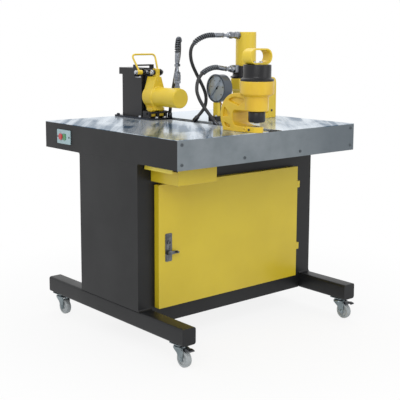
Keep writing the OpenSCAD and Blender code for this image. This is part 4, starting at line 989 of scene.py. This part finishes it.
def shapePunch(points):
    # the spine swells a little to the right of its throat, and the nose below the sleeve narrows to the front
    swell = np.clip((points - spine["from"]) / spine["fade"], 0, 1).prod(1)
    points[:, 0] += spine["grow"] * swell
    weight = np.clip((nose["from"] - points[:, 1]) / (nose["from"] - nose["to"]), 0, 1)
    weight *= points[:, 2] < nose["top"]
    points[:, 0] -= (points[:, 0] - nose["x"]) * nose["narrow"] * weight
    points[:, 1] -= (points[:, 1] - nose["y"]) * nose["shorten"] * weight
    return points


casts = {name: castNode(name, **cast) for name, cast in castings.items()}
movePoints(casts["punch_frame"].data, shapePunch)
addPiece("punch_sleeve", [lathe([(0, 29), (0.6, 31), (2, 31.6), (34, 31.6), (36, 30.4), (37.5, 29)],
                                (nose["x"], nose["y"], 861.5), upward, 64)],
         "blackSteel", bodyOf["punch_ram"], slotOf["punch_ram"], smooth=32)
addPiece("clevis_bar", [boxShell((351, 625.5, 846.5), (459, 631.8, 854.5))]
         + [lathe([(0, 3.6), (1.2, 4.2), (3.4, 4.2), (4.2, 3.2)], (x, 625.6, 850.5), frontward, 24)
            for x in (356, 405, 448)], "blackSteel", "frame", slotOf["bender_links"], smooth=30, bevel=1.0)

# scrap tray, folded from sheet: a channel with flanges turned in, two end plates and a hemmed pull lip

tray = {"x": (60.0, 243.0), "y": (70.0, 231.0), "z": (643.0, 706.0), "sheet": 1.5, "flange": 14.0,
        "fold": 2.6, "lipOut": 30.0, "lipDrop": 15.0, "lipEnds": (67.0, 230.0), "lipFold": 1.6, "hem": 3.4}


def foldedSheet(line, fold, thick, span, axis):
    # a centre line in two coordinates with rounded folds, thickened to both sides and drawn out on the axis
    flat = roundedPath([(u, v, 0) for u, v in line], fold, 6)[:, :2]
    ahead = headings(flat)
    side = np.stack([-ahead[:, 1], ahead[:, 0]], 1) * thick / 2
    ring = np.vstack([flat + side, (flat - side)[::-1]])
    count, half = len(ring), len(flat)
    surface = np.stack([np.insert(ring, axis, level, axis=1) for level in span])
    points, faces = shell(surface, caps=False)
    for row in (0, count):
        faces += [[row + k, row + k + 1, row + count - 2 - k, row + count - 1 - k] for k in range(half - 1)]
    return points, faces


def trayBody(t):
    (x0, x1), (y0, y1), (z0, z1), h = t["x"], t["y"], t["z"], t["sheet"] / 2
    channel = [(y0 + t["flange"], z1 - h), (y0 + h, z1 - h), (y0 + h, z0 + h), (y1 - h, z0 + h),
               (y1 - h, z1 - h), (y1 - t["flange"], z1 - h)]
    return [foldedSheet(channel, t["fold"], 2 * h, (x0, x1), 0),
            boxShell((x0, y0 + h, z0 + h), (x0 + 2 * h, y1 - h, z1 - h)),
            boxShell((x1 - 2 * h, y0 + h, z0 + h), (x1, y1 - h, z1 - 9))]


def trayLip(t):
    x, z, h = t["x"][0], t["z"][1], t["sheet"] / 2
    out = x - t["lipOut"] + h
    line = [(x + h, z - 12), (x + h, z - h), (out, z - h), (out, z - t["lipDrop"]),
            (out + t["hem"], z - t["lipDrop"]), (out + t["hem"], z - 6)]
    return [foldedSheet(line, t["lipFold"], 2 * h, t["lipEnds"], 1)]


addPiece("tray_body", trayBody(tray), "doorYellow", bodyOf["scrap_tray"], slotOf["scrap_tray"], smooth=32,
         replaced=["scrap_tray"], bevel=0.3)
# the lip wears a lighter yellow than the tray body, painted light
addPiece("tray_lip", trayLip(tray), "paintedLitYellow", bodyOf["scrap_tray"], slotOf["scrap_tray"], smooth=32,
         replaced=["scrap_tray"])

# hinges: knuckle with an open middle for the pin, and a leaf that laps the door's edge

hinge = {"x": 831.0, "y": 221.0, "levels": (268.0, 536.0), "long": 29.4, "inner": 3.4, "outer": 7.4}


def hingeShells(z):
    inner, outer, end = hinge["inner"], hinge["outer"], hinge["long"] + 0.2
    knuckle = [(0.6, inner), (0.6, outer - 1), (1.4, outer), (end - 1, outer), (end, outer - 1), (end, inner)]
    return [lathe(knuckle, (hinge["x"], hinge["y"], z), upward, hollow=True),
            boxShell((820.5, 207.4, z + 1.2), (836, 215.5, z + hinge["long"]))]


addPiece("hinge_knuckles", [part for z in hinge["levels"] for part in hingeShells(z)], "doorYellow",
         bodyOf["hinge_barrels"], slotOf["hinge_barrels"], smooth=32, bevel=0.8, replaced=["hinge_barrels"])
print("machine: castings made")

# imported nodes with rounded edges: for each finish the nodes that wear it and the width of their rounding

wheelPlaces = ("front_left", "front_right", "rear_left", "rear_right")
edgeWidths = {
    "toolYellow": {"cutter_anvil": 0.6},
    "smoothYellow": {"cutter_cylinder": 1.0, "punch_handle": 1.0, "gauge_post": 0.8},
    "doorYellow": {"door": 0.4},
    "blackPaint": {"column_left": 0.5, "column_right": 0.5, "foot_beam_left": 0.5, "foot_beam_right": 0.5,
                   "frame_rails": 0.5, "side_aprons": 0.4, "cabinet_back": 0.4},
    "innerBlack": {"table_frame": 0.5},
    "darkPlate": {"bender_base": 0.8},
    "blackSteel": {"bender_die": 1.2, "bender_links": 0.8, "cutter_collar": 0.8, "punch_cap": 0.6,
                   "punch_ram": 0.6, "gauge_base": 0.8},
    "polished": {"top_sheets": 0.5},
    "galvanised": {"front_apron": 0.6},
    "toolSteel": {"bender_ram": 0.4, "cutter_blade": 0.4, "cutter_lower_blade": 0.4, "punch_die": 0.4},
    "lockSteel": {"lock_plate": 0.4, "lock_lever": 0.8},
    "casterSteel": {"caster_plates": 0.4, **{"fork_" + spot: 0.5 for spot in wheelPlaces}},
    "darkFitting": {"brake_left": 0.4, "brake_right": 0.4},
    "wheelPlastic": {"wheel_" + spot: 0.8 for spot in wheelPlaces},
    "switchGrey": {"switch_box": 0.6},
    "buttonGreen": {"start_button": 0.5},
    "buttonRed": {"stop_button": 0.5},
    "gaugeGrey": {"gauge_case": 0.5},
    "dialWhite": {"gauge_dial": 0.0},
    "tankGrey": {"oil_tank": 0.8},
    "motorGrey": {"motor": 0.4},
    "blockAluminium": {"valve_block": 0.6},
    "valveBlack": {"solenoid_valves": 0.6},
}
sharpFrom = {"cabinet_back": 8.0}      # degrees from which an edge is sharp, where it isn't 32
for finish, nodes in edgeWidths.items():
    for name, width in nodes.items():
        finishNode(name, finish, width, sharpFrom.get(name, 32.0))
print("machine: packed nodes finished")

# power pack and back panel

pack = {"lid": 378.0, "cap": (450.0, 335.0), "motor": (700.0, 430.0, 574.0), "valves": (495.0, 540.0, 585.0),
        "knurls": 24, "knurl": 0.7, "slots": 5}


def knurled(x, y, profile, sides=144):
    # a turned shape whose radius ripples: in each (level, radius, share) the share says how much of the
    # knurl's depth, times a cosine of the knurls around it, the radius gains
    ripple = pack["knurl"] * np.cos(pack["knurls"] * angles(sides))
    return lathe([(z, radius + share * ripple) for z, radius, share in profile], (x, y, 0), upward, sides)


def grilleProfile():
    # the motor's cowl seen from its edge: a rim, slots at even steps and a hub
    profile = [(-1, 72.8), (1.6, 72.8), (3.0, 71), (3.4, 66)]
    for slot in range(pack["slots"]):
        edge = 64.0 - 9 * slot
        profile += [(3.6, edge), (1.2, edge - 0.6), (1.2, edge - 4.4), (3.8, edge - 5)]
    return profile + [(4.2, 17), (5.4, 13), (5.6, 0.5)]


def packPiece(name, shells, finish, owner, **settings):
    # a piece of the power pack, on the frame's body
    addPiece(name, shells, finish, "frame", slotOf[owner], **settings)


capShape = [(400.4, 23.6, 0), (401.6, 25.2, 1), (424, 25.2, 1), (426, 24.2, 0.6), (431, 21, 0),
            (432.2, 16, 0), (432.6, 0.4, 0)]
packPiece("filler_cap", [knurled(*pack["cap"], capShape),
                         lathe([(0, 15), (1, 16.6), (6, 16.6), (7, 15.4), (22, 15.4)],
                               (*pack["cap"], pack["lid"]), upward)], "valveBlack", "oil_tank")
packPiece("level_window", [boxShell((450.5, 274.8, 226), (463.5, 277, 314))], "oilAmber", "oil_tank",
          bevel=0.8)
packPiece("level_screws", [hexNut((457, 276.2, z), frontward, 5, 13) for z in (217, 323)]
          + [hexNut((640, 278.4, 195), frontward, 7, 17)]
          + [capScrew((x, y, pack["lid"] - 0.2), upward, screwSizes["tank"])
             for x in (418, 545, 675, 802) for y in (286, 570)], "zinc", "oil_tank", smooth=30)
packPiece("motor_grille", [lathe(grilleProfile(), pack["motor"], upward, 72)], "motorGrey", "motor",
          smooth=30)
packPiece("terminal_lid", [boxShell((659, 331.6, 415), (741, 336, 497))]
          + [capScrew((x, 331.8, z), frontward, screwSizes["terminal"])
             for x in (666, 734) for z in (422, 490)], "motorGrey", "motor", smooth=30, bevel=1.2)
packPiece("valve_caps", [hexNut((x, 435, 509), upward, 7, 21) for x in pack["valves"]]
          + [lathe([(0, 7.4), (3, 7.4), (4.6, 6), (5.2, 1)], (x, 435, 515.5), upward, 32)
             for x in pack["valves"]]
          + [capScrew((x + across, y, 462.6), upward, screwSizes["valve"])
             for x in pack["valves"] for across in (-13, 13) for y in (410, 460)],
          "zinc", "solenoid_valves", smooth=30)
packPiece("coil_plugs", [boxShell((x - 11, 401.5, 474), (x + 11, 415, 494)) for x in pack["valves"]],
          "valveBlack", "solenoid_valves", bevel=1.5)
packPiece("panel_edging", [boxShell((x, 616.5, 95), (x + 6.2, 621.5, 704)) for x in (61.2, 862.6)],
          "valveBlack", "cabinet_back", bevel=1.2)
print("machine: power pack finished")

# floor, light and background

floorLook = {"size": 14.0, "grey": 0.90, "fade": (0.7, 1.6), "near": 0.86}      # size and fade in metres
lamps = {"keyPanel": {"spot": (-2.6, -2.4, 3.0), "target": (0, 0, 0.8), "size": 2.4, "watts": 55},
         "frontPanel": {"spot": (1.2, -3.6, 1.8), "target": (0, 0, 0.7), "size": 2.0, "watts": 14},
         "topPanel": {"spot": (0.3, 0.6, 3.4), "target": (0, 0, 0.8), "size": 2.4, "watts": 36}}
worldLight = 0.6
white = (1, 1, 1, 1)


def seenDirectly(tree):
    # one where the camera, a mirror or glass looks, else nought
    rays = node(tree, "ShaderNodeLightPath").outputs
    return mathNode(tree, "MAXIMUM", rays["Is Camera Ray"],
                    mathNode(tree, "MAXIMUM", rays["Is Glossy Ray"], rays["Is Transmission Ray"]))


def makeStage(look):
    # a pale floor that looks plain white to the camera and to reflections, and still takes shadows
    mesh = bpy.data.meshes.new("studioFloor")
    size, grey = look["size"], look["grey"]
    corners = [(-size, -size, 0), (size, -size, 0), (size, size, 0), (-size, size, 0)]
    mesh.from_pydata(corners, [], [(0, 1, 2, 3)])
    floor = bpy.data.objects.new("studioFloor", mesh)
    bpy.context.collection.objects.link(floor)
    material, tree, shader = startMaterial("studioFloor", Roughness=0.7, Specular_IOR_Level=0.0,
                                           Base_Color=(grey, grey, grey, 1.0))
    distance = node(tree, "ShaderNodeVectorMath", {0: objectSpot(tree)}, operation="LENGTH").outputs["Value"]
    away = ramp(tree, distance, look["near"], 1.0, *look["fade"], smooth=True)
    glow = node(tree, "ShaderNodeEmission", {"Color": white, "Strength": 1.0}).outputs[0]
    fade = node(tree, "ShaderNodeMixShader", {0: times(tree, away, seenDirectly(tree)),
                                              1: tree.nodes["Principled BSDF"].outputs[0], 2: glow})
    feed(tree, tree.nodes["Material Output"].inputs[0], fade.outputs[0])
    mesh.materials.append(material)


def makeLight(name, spot, target, size, watts):
    lamp = bpy.data.lights.new(name, "AREA")
    lamp.shape = "RECTANGLE"
    lamp.size = size
    lamp.size_y = size
    lamp.energy = watts
    light = bpy.data.objects.new(name, lamp)
    light.location = spot
    light.rotation_euler = (Vector(target) - Vector(spot)).to_track_quat("-Z", "Y").to_euler()
    bpy.context.collection.objects.link(light)


def makeWorld(strength):
    # white where it is seen, a plain grey level for the light on the object
    world = bpy.data.worlds.new("studioWorld")
    bpy.context.scene.world = world
    world.use_nodes = True
    tree = world.node_tree
    tree.nodes.clear()
    soft, plain = (node(tree, "ShaderNodeBackground", {"Color": white, "Strength": level}).outputs[0]
                   for level in (strength, 1.0))
    both = node(tree, "ShaderNodeMixShader", {0: seenDirectly(tree), 1: soft, 2: plain})
    feed(tree, node(tree, "ShaderNodeOutputWorld").inputs[0], both.outputs[0])


makeStage(floorLook)
makeWorld(worldLight)
for name, lamp in lamps.items():
    makeLight(name, **lamp)
bpy.context.scene.view_settings.view_transform = "Standard"
print("machine: stage and light made")
